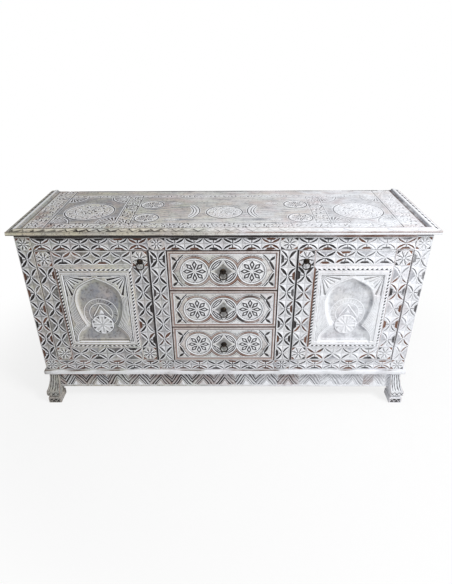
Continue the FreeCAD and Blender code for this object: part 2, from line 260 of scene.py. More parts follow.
def limed_wood(name, grain, cream=0.25, streaks=0.55, blush=0.2, grit=1.0):
    """Limewash over carved wood: thick in places, rubbed to brown on edges, dark wax in the cuts; its dark,
    brown, grey and pale also carry painted shade, painted highlights and painted light falloff.
    """
    if name in bpy.data.materials:
        return bpy.data.materials[name]
    finish = bpy.context.scene.sideboard_finish
    pot = Pot(bpy.data.materials.new(name))
    here, along = pot.place(), pot.place(GRAIN[grain])
    streak = pot.noise(along, 75, 5, 0.62, 0.3)
    hair = pot.noise(along, 420, 3, 0.6)
    cloud = pot.noise(here, 4.5, 5, 0.6)
    patch = pot.noise(here, 19, 5, 0.62)
    fleck = pot.noise(here, 85, 4, 0.68)
    speck = pot.noise(here, 260, 3, 0.7)
    dark, worn, crest, wash, smoke = (pot.reading(n) for n in ("dark", "worn", "crest", "wash", "smoke"))
    # The limewash thickens towards the right: thicker lime and painted light falloff together.
    thick = pot.between(cloud * 0.4 + patch * 0.3 + streak * 0.25 + wash * 0.42, 0.0, 0.8)
    body = pot.blend(thick, opaque(finish.lime_grey), opaque(finish.lime_pale))
    body = pot.blend(cream * (0.45 - wash * 0.6) * pot.between(patch * 0.5 + cloud * 0.5, 0.3, 0.6), body,
                     opaque(finish.cream))
    rosy = pot.between(pot.noise(here, 7.3, 4, 0.6, 0.6), 0.42, 0.66) * blush
    body = pot.blend(rosy, body, opaque(shade(198, 178, 172)))
    tint = pot.node("ShaderNodeTexNoise", None, {"Vector": here, "Scale": 9.0, "Detail": 4.0}, "Color")
    body = pot.blend(0.14, body, tint, "OVERLAY")
    body = pot.blend(smoke * pot.between(patch * 0.55 + cloud * 0.3 + fleck * 0.15, 0.32, 0.6), body,
                     opaque(finish.smoke))
    plain = pot.reading("plain")
    thin = pot.between(streak * 0.6 + patch * 0.4, 0.46, 0.68) * (streaks + plain * 0.6) * (0.8 - wash * 0.35)
    body = pot.blend(thin, body, opaque(finish.smoke))
    grime = pot.between(fleck * 0.7 + speck * 0.3, 0.5, 0.64)
    grime = grime * (0.55 - wash * 0.38) * (1 - plain * 0.85) * grit
    body = pot.blend(grime, body, opaque(finish.grime))
    rub_and_brown_shade = pot.between(worn * 0.8 + patch * 0.55 + streak * 0.25, 0.72, 1.15)
    body = pot.blend(rub_and_brown_shade, body, opaque(finish.rubbed))
    bare = pot.between(streak * 0.5 + hair * 0.3 + patch * 0.4, 0.7, 0.86) * 0.6
    body = pot.blend(bare, body, opaque(finish.rubbed))
    # The dark reading paints dark wax in the cuts together with painted shade in cuts, gaps and under the
    # lip.
    wax_and_shade = pot.between(dark + (patch - 0.5) * 0.4 + (speck - 0.5) * 0.35, 0.1, 0.8)
    body = pot.blend(wax_and_shade * 0.96, body, opaque(finish.dark_wax_and_shade))
    # Ridges and edges turn pale: limewash left on them and painted highlight.
    edge = pot.between(crest + (speck - 0.5) * 0.5, 0.22, 0.8) * 0.88 * (1 - wax_and_shade * 0.9) * (1 - worn * 0.7)
    body = pot.blend(edge, body, opaque(finish.lime_pale))
    fine = pot.between(hair * 0.6 + speck * 0.4, 0.58, 0.72) * 0.3
    body = pot.blend(fine, body, opaque(finish.rubbed), "MULTIPLY")
    rough = 0.92 - thick * 0.12 - wax_and_shade * 0.15 + (speck - 0.5) * 0.15
    relief = streak * 0.5 + hair * 0.3 + speck * 0.35 + thick * 0.3
    return pot.coat({"Base Color": body, "Roughness": rough, "Normal": pot.height(relief, 0.0007, 0.55)},
                    {"Specular IOR Level": 0.25})


def bare_wood(name, grain="x"):
    """Plain unpainted boards: brown with darker growth lines, each board in its own tone."""
    if name in bpy.data.materials:
        return bpy.data.materials[name]
    finish = bpy.context.scene.sideboard_finish
    pot = Pot(bpy.data.materials.new(name))
    along = pot.place(GRAIN[grain])
    growth = pot.noise(along, 34, 6, 0.62, 0.9)
    hair = pot.noise(along, 330, 4, 0.65)
    cloud = pot.noise(pot.place(), 5, 4)
    body = pot.blend(pot.between(growth, 0.35, 0.7), opaque(finish.bare), opaque(shade(118, 88, 62)))
    body = pot.blend(pot.between(hair, 0.5, 0.72) * 0.45, body, opaque(shade(84, 60, 42)))
    body = pot.blend(pot.between(cloud, 0.4, 0.7) * 0.3, body, opaque(shade(186, 160, 128)))
    body = pot.blend(pot.reading("smoke") * 0.5, body, opaque(shade(112, 92, 74)))
    wax_and_shade = pot.between(pot.reading("dark") + (hair - 0.5) * 0.5, 0.1, 0.8)
    body = pot.blend(wax_and_shade, body, opaque(finish.dark_wax_and_shade))
    rough = 0.7 + growth * 0.2
    return pot.coat({"Base Color": body, "Roughness": rough,
                     "Normal": pot.height(growth * 0.5 + hair * 0.5, 0.0006, 0.6)})


def dark_iron(name):
    """Forged iron, nearly black, with worn brassy spots."""
    if name in bpy.data.materials:
        return bpy.data.materials[name]
    finish = bpy.context.scene.sideboard_finish
    pot = Pot(bpy.data.materials.new(name))
    here = pot.place()
    cloud = pot.noise(here, 130, 5, 0.6)
    pits = pot.noise(here, 620, 4, 0.7)
    bright = pot.between(cloud * 0.7 + pits * 0.3, 0.53, 0.66)
    body = pot.blend(bright * 0.5, opaque(finish.iron), opaque(finish.brass))
    rough = 0.78 - bright * 0.2 + (pits - 0.5) * 0.3
    return pot.coat({"Base Color": body, "Roughness": rough, "Metallic": bright * 0.4,
                     "Normal": pot.height(pits * 0.7 + cloud * 0.3, 0.0006, 0.7)},
                    {"Specular IOR Level": 0.2})


def chance(number, seed=0):
    """A fixed random share between 0 and 1 for each whole number."""
    return (np.sin(np.asarray(number) * 12.9898 + seed * 78.233 + 1.7) * 43758.5453) % 1


def drift(a, b, size, seed=0):
    """Slow wandering over a face, between -1 and 1."""
    out = 0
    for k in range(4):
        turn, lag = chance(k, seed) * math.tau, chance(k + 9, seed) * math.tau
        reach = size * (0.6 + 0.8 * float(chance(k + 20, seed)))
        out = out + np.sin((a * math.cos(turn) + b * math.sin(turn)) * math.tau / reach + lag)
    return out / 4


def ramp(value, low, high):
    """A soft rise from 0 to 1 between two values."""
    t = np.clip((value - low) / (high - low), 0, 1)
    return t * t * (3 - 2 * t)


def smooth_line(points, count=14):
    """A curve through points, as many short straight runs."""
    p = [np.array(v, float) for v in points]
    p = [2 * p[0] - p[1]] + p + [2 * p[-1] - p[-2]]
    out = []
    for k in range(1, len(p) - 2):
        for t in np.linspace(0, 1, count, endpoint=False):
            out.append(0.5 * (2 * p[k] + (p[k + 1] - p[k - 1]) * t
                              + (2 * p[k - 1] - 5 * p[k] + 4 * p[k + 1] - p[k + 2]) * t ** 2
                              + (3 * p[k] - p[k - 1] - 3 * p[k + 1] + p[k + 2]) * t ** 3))
    return out + [p[-2]]


def away(a, b, line):
    """Distance from every point of a face to a run of straight pieces."""
    best = np.full(a.shape, 1e6)
    for (x0, y0), (x1, y1) in zip(line, line[1:]):
        dx, dy = x1 - x0, y1 - y0
        t = np.clip(((a - x0) * dx + (b - y0) * dy) / max(dx * dx + dy * dy, 1e-9), 0, 1)
        best = np.minimum(best, np.hypot(a - x0 - t * dx, b - y0 - t * dy))
    return best


def leaf(x, y, start, end, width, bow):
    """A leaf-shaped cut between two points: 0 outside it and 1 along its middle."""
    dx, dy = end[0] - start[0], end[1] - start[1]
    reach = math.hypot(dx, dy)
    t = np.clip(((x - start[0]) * dx + (y - start[1]) * dy) / reach ** 2, 0, 1)
    off = ((y - start[1]) * dx - (x - start[0]) * dy) / reach - bow * reach * 4 * t * (1 - t)
    half = width / 2 * np.sin(math.pi * t)
    return np.clip(1 - np.abs(off) / np.maximum(half, 0.01), 0, 1)


def wedge(x, y, start, turn, reach, width):
    """A cut that widens from a point to a blunt end, in a direction given as an angle."""
    along = (x - start[0]) * math.cos(turn) + (y - start[1]) * math.sin(turn)
    off = (y - start[1]) * math.cos(turn) - (x - start[0]) * math.sin(turn)
    half = np.maximum(width / 2 * np.clip(along / reach, 0, 1), 0.01)
    return np.clip(1.4 - 1.4 * np.abs(off) / half, 0, 1) * np.clip((reach - along) / 1.5, 0, 1) * (along > 0)


def line_cut(distance, width):
    """A V-cut along a line: 1 on the line and 0 half the width away."""
    return np.clip(1 - np.abs(distance) * 2 / width, 0, 1)


def hump(distance, reach, top=1.0):
    """Falls from a flat top to 0 on both sides of a line."""
    return np.clip(top - np.abs(distance) / reach, 0, 1)


def swing(turns):
    """1 at whole numbers, 0 halfway between them, and straight between."""
    return np.abs(turns % 1 - 0.5) * 2


def folded(x, y, count):
    """The angle from the nearest of evenly spread rays."""
    share = math.tau / count
    return ((np.arctan2(y, x) / share + 0.5) % 1 - 0.5) * share


def between_rays(r, fold):
    """Distance from the lines halfway between eight rays."""
    return r * np.sin(EIGHTH / 2 - np.abs(fold))


def box_mm(node):
    """The two corners of a solid's box, in mm."""
    return [Vector(v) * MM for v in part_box(node)]


class Carving:
    """One face while it is carved: a and b are its two directions, and every array is alike."""

    def __init__(self, a, b, seed=0):
        self.a, self.b, self.seed = a, b, seed
        self.sizes = bpy.context.scene.sideboard_carving
        self.form, self.depth, self.dark = (np.zeros(a.shape) for _ in range(3))
        self.worn, self.smoke, self.pale = (np.zeros(a.shape) for _ in range(3))

    def drift(self, size, seed):
        return drift(self.a, self.b, size, seed)

    def luck(self, number, seed):
        """A random share for each whole number that differs from board to board."""
        return chance(number, self.seed + seed)

    def lift(self, rise):
        self.form = self.form + rise

    def sink(self, fall):
        self.form = self.form - fall

    def wax_and_shade(self, shape):
        """Leaves dark wax where shape is 1, and paints shade there: in cuts, in gaps and under the lip."""
        self.dark = np.maximum(self.dark, shape)

    def rub_and_brown_shade(self, shape):
        """Wears the limewash through to the wood where shape is 1; also paints shade in brown on bevels and
        coves that face away from the lamp, and under the lip.
        """
        self.worn = np.maximum(self.worn, shape)

    def grey_and_shade(self, shape):
        """Greys the limewash where shape is 1; also paints shade on coves and niche slopes and towards the
        left, away from the lamp.
        """
        self.smoke = np.maximum(self.smoke, shape)

    def whiten_and_highlight(self, shape):
        """Lays thicker limewash where shape is 1; also paints highlights on ridges and lit slopes and towards
        the right, near the lamp.
        """
        self.pale = np.maximum(self.pale, shape)

    def cut(self, shape, depth, dark=0.9, worn=0.0):
        """Takes wood away where shape runs from 0 at a cut's rim to 1 at its bottom, and darkens it there
        with dark wax and painted shade.
        """
        self.depth = np.maximum(self.depth, shape * depth)
        self.wax_and_shade(ramp(shape, 0.03, 0.4) * dark)
        self.rub_and_brown_shade(ramp(shape, 0.0, 0.35) * worn)

    def rib(self, distance, width, rise, tone=0.0, where=1.0):
        """A raised rib along a line, with a groove on either side that holds wax."""
        self.lift(where * rise * hump(distance, width / 1.3, 1.3))
        if tone:
            self.cut(where * line_cut(np.abs(distance) - width - 0.9, 3.0), 0.7, tone)

    def height(self):
        return self.form - self.depth


def star_cells(c, along, across, start, end, count, half, caps=(0.4, 0.4)):
    """Star cells in a row: hollow-sided stars, a dark claw along each side, a stem and cap between two."""
    s = c.sizes
    # left and right carry painted light falloff together with thinner and thicker limewash: the cells grey
    # and their cuts darken towards the left, away from the lamp, and pale towards the right.
    left, right = 1 - ramp(c.a, -500, 600), ramp(c.a, 420, 800)
    pitch = (end - start) / count
    place = (along + 1.4 * c.drift(52, c.seed + 3) - start) / pitch
    side = across + drift(c.b, c.a, 61, c.seed + 6)
    here = (place > 0) & (place < count) & (np.abs(side) < half)
    cell = np.clip(np.floor(place), 0, count - 1)
    claw_no = cell * 4 + 2 * (place - cell > 0.5) + (side > 0)
    chip_no = cell * 2 + (side > 0)
    u, v = np.minimum(np.abs((place - cell) * 2 - 1), 1), np.minimum(np.abs(side) / half, 1)
    radius = np.maximum((u ** s.arch_power + (1 - v) ** s.arch_power) ** (1 / s.arch_power), 0.02)
    off = (s.arch_reach / radius - 1) * np.hypot(u * pitch / 2, (1 - v) * half)

    # The star's facets and the folds between them
    c.sink(here * np.clip(-off, 0, 12) * s.star_fall)
    vein = here * (off < -1.5) * line_cut(np.minimum((1 - u) * pitch / 2, v * half), 3.4)
    c.cut(vein, 0.6, 0.4)
    star = here * ramp(-off, -0.5, 1.0) * (1 - vein)
    c.whiten_and_highlight(star * (0.5 - 0.35 * left + 0.2 * right + 0.3 * c.luck(np.round(place), 17)))
    c.grey_and_shade(here * (0.15 + 0.4 * left - 0.15 * right))

    # A claw along each hollow side and the ridge outside it
    brown = ramp(c.drift(260, c.seed + 9) + 0.9 * (c.luck(cell, 13) - 0.5), 0.1, 0.5)
    t = np.clip(np.arctan2(1 - v, u) / (math.pi / 2), 0, 1)
    wide = s.leaf_width * min(1, half / 27) * (1 - 0.3 * right) * np.sin(math.pi * t ** 0.85) ** 0.6
    wide = wide * (0.65 + 0.5 * c.luck(claw_no, 5))
    tone = (0.75 + 0.35 * c.luck(claw_no, 0)) * (1 - 0.5 * (c.luck(claw_no, 11) > 0.86))
    tone = tone * (1 - 0.6 * right * c.luck(claw_no, 19))
    claw = np.minimum(off / 1.6, (wide - off) / (0.4 * np.maximum(wide, 0.01)))
    c.cut(here * np.clip(claw, 0, 1), s.leaf_depth, tone * (1 - 0.5 * brown), brown)
    ridge = here * line_cut(off - wide - 2.0, 4.6) * (t > 0.06) * (t < 0.94)
    c.lift(0.5 * ridge)
    c.whiten_and_highlight((0.45 - 0.3 * left) * ridge)

    # The ground, the half-moon cap and the stem between two stars
    full = (c.luck(chip_no, 2) < np.where(side > 0, caps[1], caps[0])) * (0.7 + 0.3 * c.luck(chip_no, 7))
    red = (c.luck(chip_no, 8) > 0.45 + 0.3 * (1 - left)) * (full > 0)
    ground = here * ramp(off - wide, 4, 6)
    c.grey_and_shade(ground * 0.8 * c.luck(chip_no, 15))
    c.cut(ground, 0.8, left * 0.5 * c.luck(chip_no, 16))
    cap = np.minimum(np.minimum((0.58 - 0.6 * (1 - v) - u) / 0.06, (v - 0.6) / 0.05), (0.99 - v) / 0.03)
    c.cut(here * np.clip(cap, 0, 1), s.chip_depth * (0.4 + 0.6 * full),
          0.15 + full * np.where(red, 0.4, 0.8), red)
    stem = line_cut(u * pitch / 2, 5.4) * (v > 0.12) * (v < 0.66) * (0.35 + 0.65 * (full > 0))
    c.cut(here * stem, 2.4, 0.85)


def star_square(c, x, y, half_x, half_y):
    """A square over a post: a faceted star with eight rays, and chips of wax or bare wood in its corners."""
    u, v = np.abs(x) / half_x, np.abs(y) / half_y
    edge, small, r = np.maximum(u, v), min(half_x, half_y), np.hypot(x, y)
    here = edge < 1
    fold = np.abs(folded(x, y, 8)) / EIGHTH
    rim = small * (0.97 - 0.5 * (2 * fold) ** 0.7)
    c.sink(here * np.where(r < rim, 0.42 * r * np.sin(fold * EIGHTH), 1.2))
    valley = r * np.sin((0.5 - fold) * EIGHTH)
    c.cut(here * (r < small) * line_cut(valley, 5) * ramp(r, 2, 8), 1.8, 0.8)
    c.whiten_and_highlight(here * 0.4 * (r < rim))
    c.cut(here * hump(r - rim - 1.5, 2.4) * (fold > 0.12), 1.2, 0.5)
    waxed = c.luck((x > 0) * 2 + (y > 0), 21) > 0.5
    corner = np.minimum((u + v - 1.36) / 0.2, (0.97 - edge) / 0.08)
    c.cut(here * np.clip(corner, 0, 1), c.sizes.chip_depth, np.where(waxed, 0.95, 0.35), ~waxed)
    c.cut(here * line_cut(1 - edge, 0.1), 0.6, 0.45)


def band(c, along, across, half, sections, caps=(0.4, 0.4)):
    """A run of star cells and squares; each section is (start, end, number of cells, or 0 for a square)."""
    for start, end, count in sections:
        if count:
            star_cells(c, along, across, start, end, count, half, caps)
        else:
            star_square(c, along - (start + end) / 2, across, (end - start) / 2 - 1, half)


def build_mesh(name, points, curved, flat, readings, material):
    """A piece from points in mm, four-cornered smooth faces, flat faces, and a reading at each point."""
    loops = np.concatenate([np.ravel(curved), *flat]).astype(np.int32)
    corners = np.array([4] * len(curved) + [len(face) for face in flat], np.int32)
    mesh = bpy.data.meshes.new(name)
    mesh.vertices.add(len(points))
    mesh.vertices.foreach_set("co", (np.asarray(points) / MM).astype(np.float32).ravel())
    mesh.loops.add(len(loops))
    mesh.loops.foreach_set("vertex_index", loops)
    mesh.polygons.add(len(corners))
    mesh.polygons.foreach_set("loop_start", np.cumsum(corners, dtype=np.int32) - corners)
    mesh.polygons.foreach_set("use_smooth", np.arange(len(corners)) < len(curved))
    for key, values in readings.items():
        layer = mesh.attributes.new(key, "FLOAT", "POINT")
        layer.data.foreach_set("value", values.astype(np.float32).ravel())
    mesh.update(calc_edges=True)
    mesh.materials.append(material)
    piece = bpy.data.objects.new(name, mesh)
    bpy.context.collection.objects.link(piece)
    return piece


def quads(rows, cols, wrap=False):
    """Corner numbers of a grid of faces, row by row; wrap joins the last column to the first."""
    wide = cols if wrap else cols - 1
    r, k = np.meshgrid(np.arange(rows - 1), np.arange(wide), indexing="ij")
    n = (k + 1) % cols
    return np.stack([r * cols + k, r * cols + n, (r + 1) * cols + n, (r + 1) * cols + k], -1).reshape(-1, 4)


def tube(rows, cols, flip=False, first=0):
    """The sides and the two flat ends of rings of points joined one to the next."""
    sides = first + quads(rows, cols, True)
    ends = [first + np.arange(cols)[::-1], first + (rows - 1) * cols + np.arange(cols)]
    return (sides[:, ::-1], [end[::-1] for end in ends]) if flip else (sides, ends)


def blurred(h, reach):
    """A height grid averaged over a few neighbours each way."""
    for axis in (0, 1):
        padded = np.concatenate([np.repeat(np.take(h, [0], axis), reach, axis), h,
                                 np.repeat(np.take(h, [-1], axis), reach, axis)], axis)
        total = np.cumsum(padded, axis)
        total = np.concatenate([np.zeros_like(np.take(total, [0], axis)), total], axis)
        size = h.shape[axis]
        high = np.take(total, range(2 * reach + 1, 2 * reach + 1 + size), axis)
        h = (high - np.take(total, range(size), axis)) / (2 * reach + 1)
    return h


def limewash(x, y, z):
    """How thick the limewash lies, with painted light falloff from the lamp on the right: thin and shaded
    towards the left, thick and lit towards the right; from -1 to 1.
    """
    return np.clip(x / 700 + 0.35 * drift(x, z + y, 420, 4), -1, 1)


def finish_readings(c, x, y, z):
    """The readings that the finishes take from a carved face."""
    h = c.height()
    wash = limewash(x, y, z)
    # Ridges picked out from the height: limewash left on them and painted highlight.
    crest = np.maximum(np.clip((h - blurred(h, 2)) / 0.55, 0, 1), c.pale)
    # The dark fades towards the right: painted light falloff from the lamp on the right.
    dark = c.dark * (1 - 0.5 * ramp(wash, 0.2, 1) * (0.6 + 0.4 * drift(x, z + y, 130, 8)))
    return {"dark": dark, "worn": c.worn, "crest": crest, "wash": wash, "smoke": c.smoke}


def edge_distance(a, b):
    """Distance to the nearest edge of a face."""
    return np.minimum(np.minimum(a - a.min(), a.max() - a), np.minimum(b - b.min(), b.max() - b))


def dress(piece, body, slot, *nodes):
    """Fixes a piece to its body and hides the solids that it stands for; slot is not used."""
    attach(piece, body)
    if nodes:
        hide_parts(*nodes)


def carved_board(name, low, high, carve, material, body, node, face="front", grid=None, seed=0, arris=None,
                 turn=0, slot="limed_wood"):
    """A board between two corners with one carved face: the upper, or the front one in quarter turns."""
    sizes = bpy.context.scene.sideboard_carving
    grid = grid or sizes.grid
    arris = sizes.arris if arris is None else arris
    spin = Matrix.Rotation(turn * math.pi / 2, 3, "Z")
    ends = [Vector(v) @ spin for v in (low, high)]
    low, high = (Vector([pick(pair) for pair in zip(*ends)]) for pick in (min, max))
    up = 2 if face == "front" else 1
    cols, rows = (max(int((high[k] - low[k]) / grid), 4) + 1 for k in (0, up))
    a, b = np.meshgrid(np.linspace(low[0], high[0], cols), np.linspace(low[up], high[up], rows))
    c = Carving(a, b, seed)
    carve(c)
    if arris:
        round_off = 0.6 * arris * (1 - np.clip(edge_distance(a, b) / arris, 0, 1)) ** 2
        c.sink(round_off)
        c.rub_and_brown_shade(0.5 * (round_off > 0.05))
    h = np.minimum(c.height(), 0)
    corners = ((low[0], low[up]), (high[0], low[up]), (high[0], high[up]), (low[0], high[up]))
    if face == "front":
        points, back = (a, low[1] - h, b), [(x, high[1], z) for x, z in corners]
    else:
        points, back = (a, b, high[2] + h), [(x, y, low[2]) for x, y in corners]
    points = np.concatenate([np.stack(points, -1).reshape(-1, 3), back]) @ np.array(spin).T
    readings = finish_readings(c, *points[:a.size].T.reshape(3, rows, cols))
    readings = {key: np.concatenate([np.ravel(v), np.zeros(4)]) for key, v in readings.items()}
    readings["wash"][-4:] = readings["wash"][0]
    readings["plain"] = np.repeat([0.0, 1.0], [a.size, 4])
    number, first = np.arange(a.size).reshape(rows, cols), a.size
    edges = (number[0, ::-1], number[::-1, -1], number[-1], number[:, 0])
    rims = [[*edge, first + k, first + (k + 1) % 4] for k, edge in enumerate(edges)]
    rims.append([first, first + 3, first + 2, first + 1])
    dress(build_mesh(name, points, quads(rows, cols), rims, readings, material), body, slot, node)


def board_like(node, body, carve, grain, seed=0, **more):
    """A carved board of limed wood in the place of a solid."""
    carved_board(f"{node}_carved", *box_mm(node), carve, limed_wood(f"limed_wood_{grain}", grain), body, node,
                 seed=seed, **more)


def rail_sections():
    """Where the star cells and squares of the long rails start and end."""
    (near, *_), (far, *_) = box_mm("inner_post_right")
    end = box_mm("corner_post_right")[0][0]
    return [(-end, -far, 6), (-far, -near, 0), (-near, near, 6), (near, far, 0), (far, end, 6)]


def carve_posts_and_rails():
    """Star bands on the four posts and the two long rails, with squares where they cross."""
    plain, fillet = 17, 2.5
    (*_, low_z), (*_, high_z) = box_mm("top_rail")
    high_z -= plain
    (*_, foot_z), (*_, sill_z) = box_mm("bottom_rail")
    sections = rail_sections()

    def top(c):
        band(c, c.a, c.b - (low_z + high_z) / 2, (high_z - low_z) / 2 - fillet, sections, (1.0, 0.85))
        right = ramp(c.a, -100, 600)
        # Painted shadow of the top's lip along the rail's upper edge, dark on the left and brown towards the
        # right; a dark line runs along its lower edge.
        shadow = ramp(c.b + 3 * c.drift(60, 31), high_z - 7 + 4 * right, high_z + 2)
        c.wax_and_shade((0.95 - 0.6 * right) * shadow)
        c.rub_and_brown_shade(0.8 * right * (c.b > high_z))
        c.wax_and_shade(0.85 * (c.b < low_z + 2.2))

    def bottom(c):
        band(c, c.a, c.b - (foot_z + sill_z) / 2, (sill_z - foot_z) / 2 - fillet, sections, (0.7, 0.5))
        c.grey_and_shade(0.6)

    board_like("top_rail", "carcass", top, "x", 1)
    board_like("bottom_rail", "carcass", bottom, "x", 2)
    for k, name in enumerate(SIDES):
        low, high = box_mm(f"corner_post_{name}")
        middle, half = (low[0] + high[0]) / 2, (high[0] - low[0]) / 2 - 1.5

        def corner(c):
            band(c, c.b, c.a - middle, half, [(foot_z, sill_z, 0), (sill_z, low_z, 7), (low_z, high_z, 0)])
            # Painted shadow under the top's lip, and painted shade in the gap beside the right door.
            c.wax_and_shade(0.85 * ramp(c.b, high_z, high_z + 6))
            c.wax_and_shade(0.6 * (c.a < middle - half) * (c.b < low_z) * (middle > 0))

        board_like(f"corner_post_{name}", "carcass", corner, "z", 5 + k)
        low, high = box_mm(f"inner_post_{name}")
        centre = (low[0] + high[0]) / 2

        def inner(c):
            band(c, c.b, c.a - centre, half + 1, [(sill_z, low_z, 7)])
            # Painted shade along the gaps beside the doors and the drawers.
            c.wax_and_shade(0.95 * (np.abs(c.a) > abs(centre) + half + 3))
            c.wax_and_shade(0.6 * (np.abs(c.a) < abs(centre) - half - 4))

        board_like(f"inner_post_{name}", "carcass", inner, "z", 8 + k)


def kites(c, x, y, reach, wide, stroke, where, deep, tone):
    """Eight kite-shaped petals: a dark cut in each round a pale kernel, and rays between them."""
    r, fold = np.hypot(x, y), folded(x, y, 8)
    along, across = r * np.cos(fold), np.abs(r * np.sin(fold))
    root, knee = 0.06 * reach, 0.62 * reach
    near = (wide * (along - root) - (knee - root) * across) / math.hypot(wide, knee - root)
    far = (wide * (reach - along) - (reach - knee) * across) / math.hypot(wide, reach - knee)
    within = np.minimum(near, far)
    c.cut(where * line_cut(within - stroke / 2 - 0.3, stroke), deep, tone)
    c.sink(where * 0.9 * ramp(-within, 0, 1.5))
    c.lift(where * 0.9 * line_cut(between_rays(r, fold), 3.6) * (r > 8))
    c.cut(where * line_cut(across, 2.6) * (within > 1), 0.8, 0)
    c.cut(where * ramp(-within, 1.5, 3.5) * ramp(r / reach, 0.76, 0.86) * (r < reach + 1), 1.8, 0)


class DoorPanel:
    """Places on a door's panel: its edges, its sunk field, and the keyhole niche in the field."""
    margin, sill_drop, boss_share = 21, 6, 0.27
    side_stretch = 1.22

    def __init__(self, c, low, high):
        self.low, self.high = low, high
        self.middle = (low[0] + high[0]) / 2
        # The right door's cuts are paler: painted light falloff from the lamp on the right.
        self.fade = 1 - 0.35 * (self.middle > 0)
        self.x, self.z = c.a - self.middle, c.b
        self.side_e = (high[0] - low[0]) / 2 - np.abs(self.x)
        self.end_e = np.minimum(self.z - low[2], high[2] - self.z)
        self.e = np.minimum(self.side_e * self.side_stretch, self.end_e)
        self.upright = self.side_e * self.side_stretch < self.end_e

        # The niche: d is the distance into it from its outline
        self.field_low = low[2] + self.margin
        self.field_wide = (high[0] - low[0]) / 2 - self.margin
        field_high = high[2] - low[2] - 2 * self.margin
        bell, arch = ([(w * self.field_wide, self.field_low + k * field_high) for w, k in shares]
                      for shares in (NICHE_BELL_SHARES, NICHE_ARCH_SHARES))
        curve = smooth_line(bell) + smooth_line(arch)[1:]
        half = np.interp(self.z, [p[1] for p in curve], [p[0] for p in curve], left=0, right=0)
        far = away(np.abs(self.x), self.z, curve)
        self.sill = self.z - self.field_low
        self.inside = (np.abs(self.x) < half) & (self.sill > 0)
        self.d = np.where(self.inside, np.minimum(far, np.maximum(self.sill - self.sill_drop, 0)), -far)
        self.field = (self.e > 37) | (self.inside & (self.side_e > 20) & (self.end_e > 20))
        self.eye = self.field_low + self.boss_share * field_high
        self.deep = self.inside & (self.d > 3)
        self.r = np.hypot(self.x, self.z - self.eye)


def door_edge(c, p):
    """The bevel, the rope notches round it, two ribs, and the step down to the field."""
    # The left bevel of each panel is brown and darker: worn wood and painted shade on the side that faces
    # away from the lamp.
    outer = (p.x < 0) * p.upright
    c.sink(6 * np.clip(1 - p.e / 10, 0, 1))
    c.rub_and_brown_shade(0.95 * (p.e < 8) * outer)
    c.wax_and_shade(0.3 * (p.e < 6) * outer * p.fade)
    pitch, slant, start = (np.where(p.upright, *pair) for pair in ((15.6, 19.6), (0.6, 0.9), (6, 8)))
    run = np.where(p.upright, p.z, c.a) + slant * p.e * np.where(p.x > 0, 1, -1)
    tooth = hump(run / pitch % 1 - 0.5, 0.32)
    reach = np.clip(np.minimum(p.e - start, 25 - start - p.e) / 3, 0, 1)
    c.lift(2.0 * reach * (1 - tooth) - 2.0 * (p.e < 20))
    c.cut(np.clip(tooth * 1.5, 0, 1) * reach, c.sizes.rope_depth, 1.0)
    for spot, width, depth, tone, worn in ((21.5, 2.6, 0.9, 0.5, 0), (29.5, 3.2, 0.9, 0.5, 0.6),
                                           (38.5, 3.4, 0.6, 0.7, 0)):
        c.cut(line_cut(p.e - spot, width), depth, tone * p.fade, worn)
    for spot in (25.5, 33.5):
        c.rib(p.e - spot, 2.6, 0.9)
    c.sink(3 * ramp(p.e, 35, 38))


def door_niche(c, p):
    """The hollow of the keyhole niche and the contour lines beside its foot."""
    c.sink(np.where(p.field, c.sizes.niche_depth * (1 - (1 - np.clip(p.d / 24, 0, 1)) ** 2), 0))
    # The rim's line is darker on the left of the niche: painted shade.
    c.cut(p.field * line_cut(p.d - 0.6, 3.4) * (p.z > p.eye), 0.8, np.where(p.x < 0, 0.85, 0.5) * p.fade)
    # Greys the floor of the niche, less on the right door, where it pales as painted light falloff.
    c.grey_and_shade(p.field * ramp(p.d, 10, 27) * (0.95 - 0.45 * (p.middle > 0)))
    # Painted highlight on the niche's left slope, which faces the lamp, and painted shade on its right slope.
    lit_and_shaded_slope = p.field * ramp(p.d, 1, 5) * (1 - ramp(p.d, 6, 27)) * (p.z > p.eye - 30)
    c.whiten_and_highlight(lit_and_shaded_slope * ramp(-p.x, -10, 50) * 0.55)
    c.grey_and_shade(lit_and_shaded_slope * ramp(p.x, -10, 50) * 0.8)
    beside = p.field * (p.z < p.low[2] + 0.66 * (p.high[2] - p.low[2])) * (p.sill > 4)
    for k, gap in enumerate((4.5, 10.5, 16.5, 22.5, 28.5)):
        c.cut(beside * line_cut(p.d + gap, 3.2), 1.1, (0.75 - 0.08 * k) * p.fade)
        c.lift(beside * 0.7 * line_cut(p.d + gap + 3, 3.4))
    return beside


def door_spandrels(c, p, beside):
    """A fan of wedge cuts in each upper corner of the field."""
    over = p.field * (p.d < -2) * (beside < 1)
    c.sink(over * 1.6 * ramp(-p.d, 5, 9))
    c.cut(over * line_cut(p.d + 6.5, 2.6), 0.8, 0.6 * p.fade)
    corner = (p.field_wide - 10, p.high[2] - 41)
    for degrees, reach, width, tone in SPANDREL_WEDGES:
        fan = wedge(np.abs(p.x), p.z, corner, math.pi + math.radians(degrees), reach, width)
        c.cut(over * (p.d < -6) * fan, 3.2, tone * p.fade)
    c.whiten_and_highlight(over * 0.35 * (c.depth < 0.3))


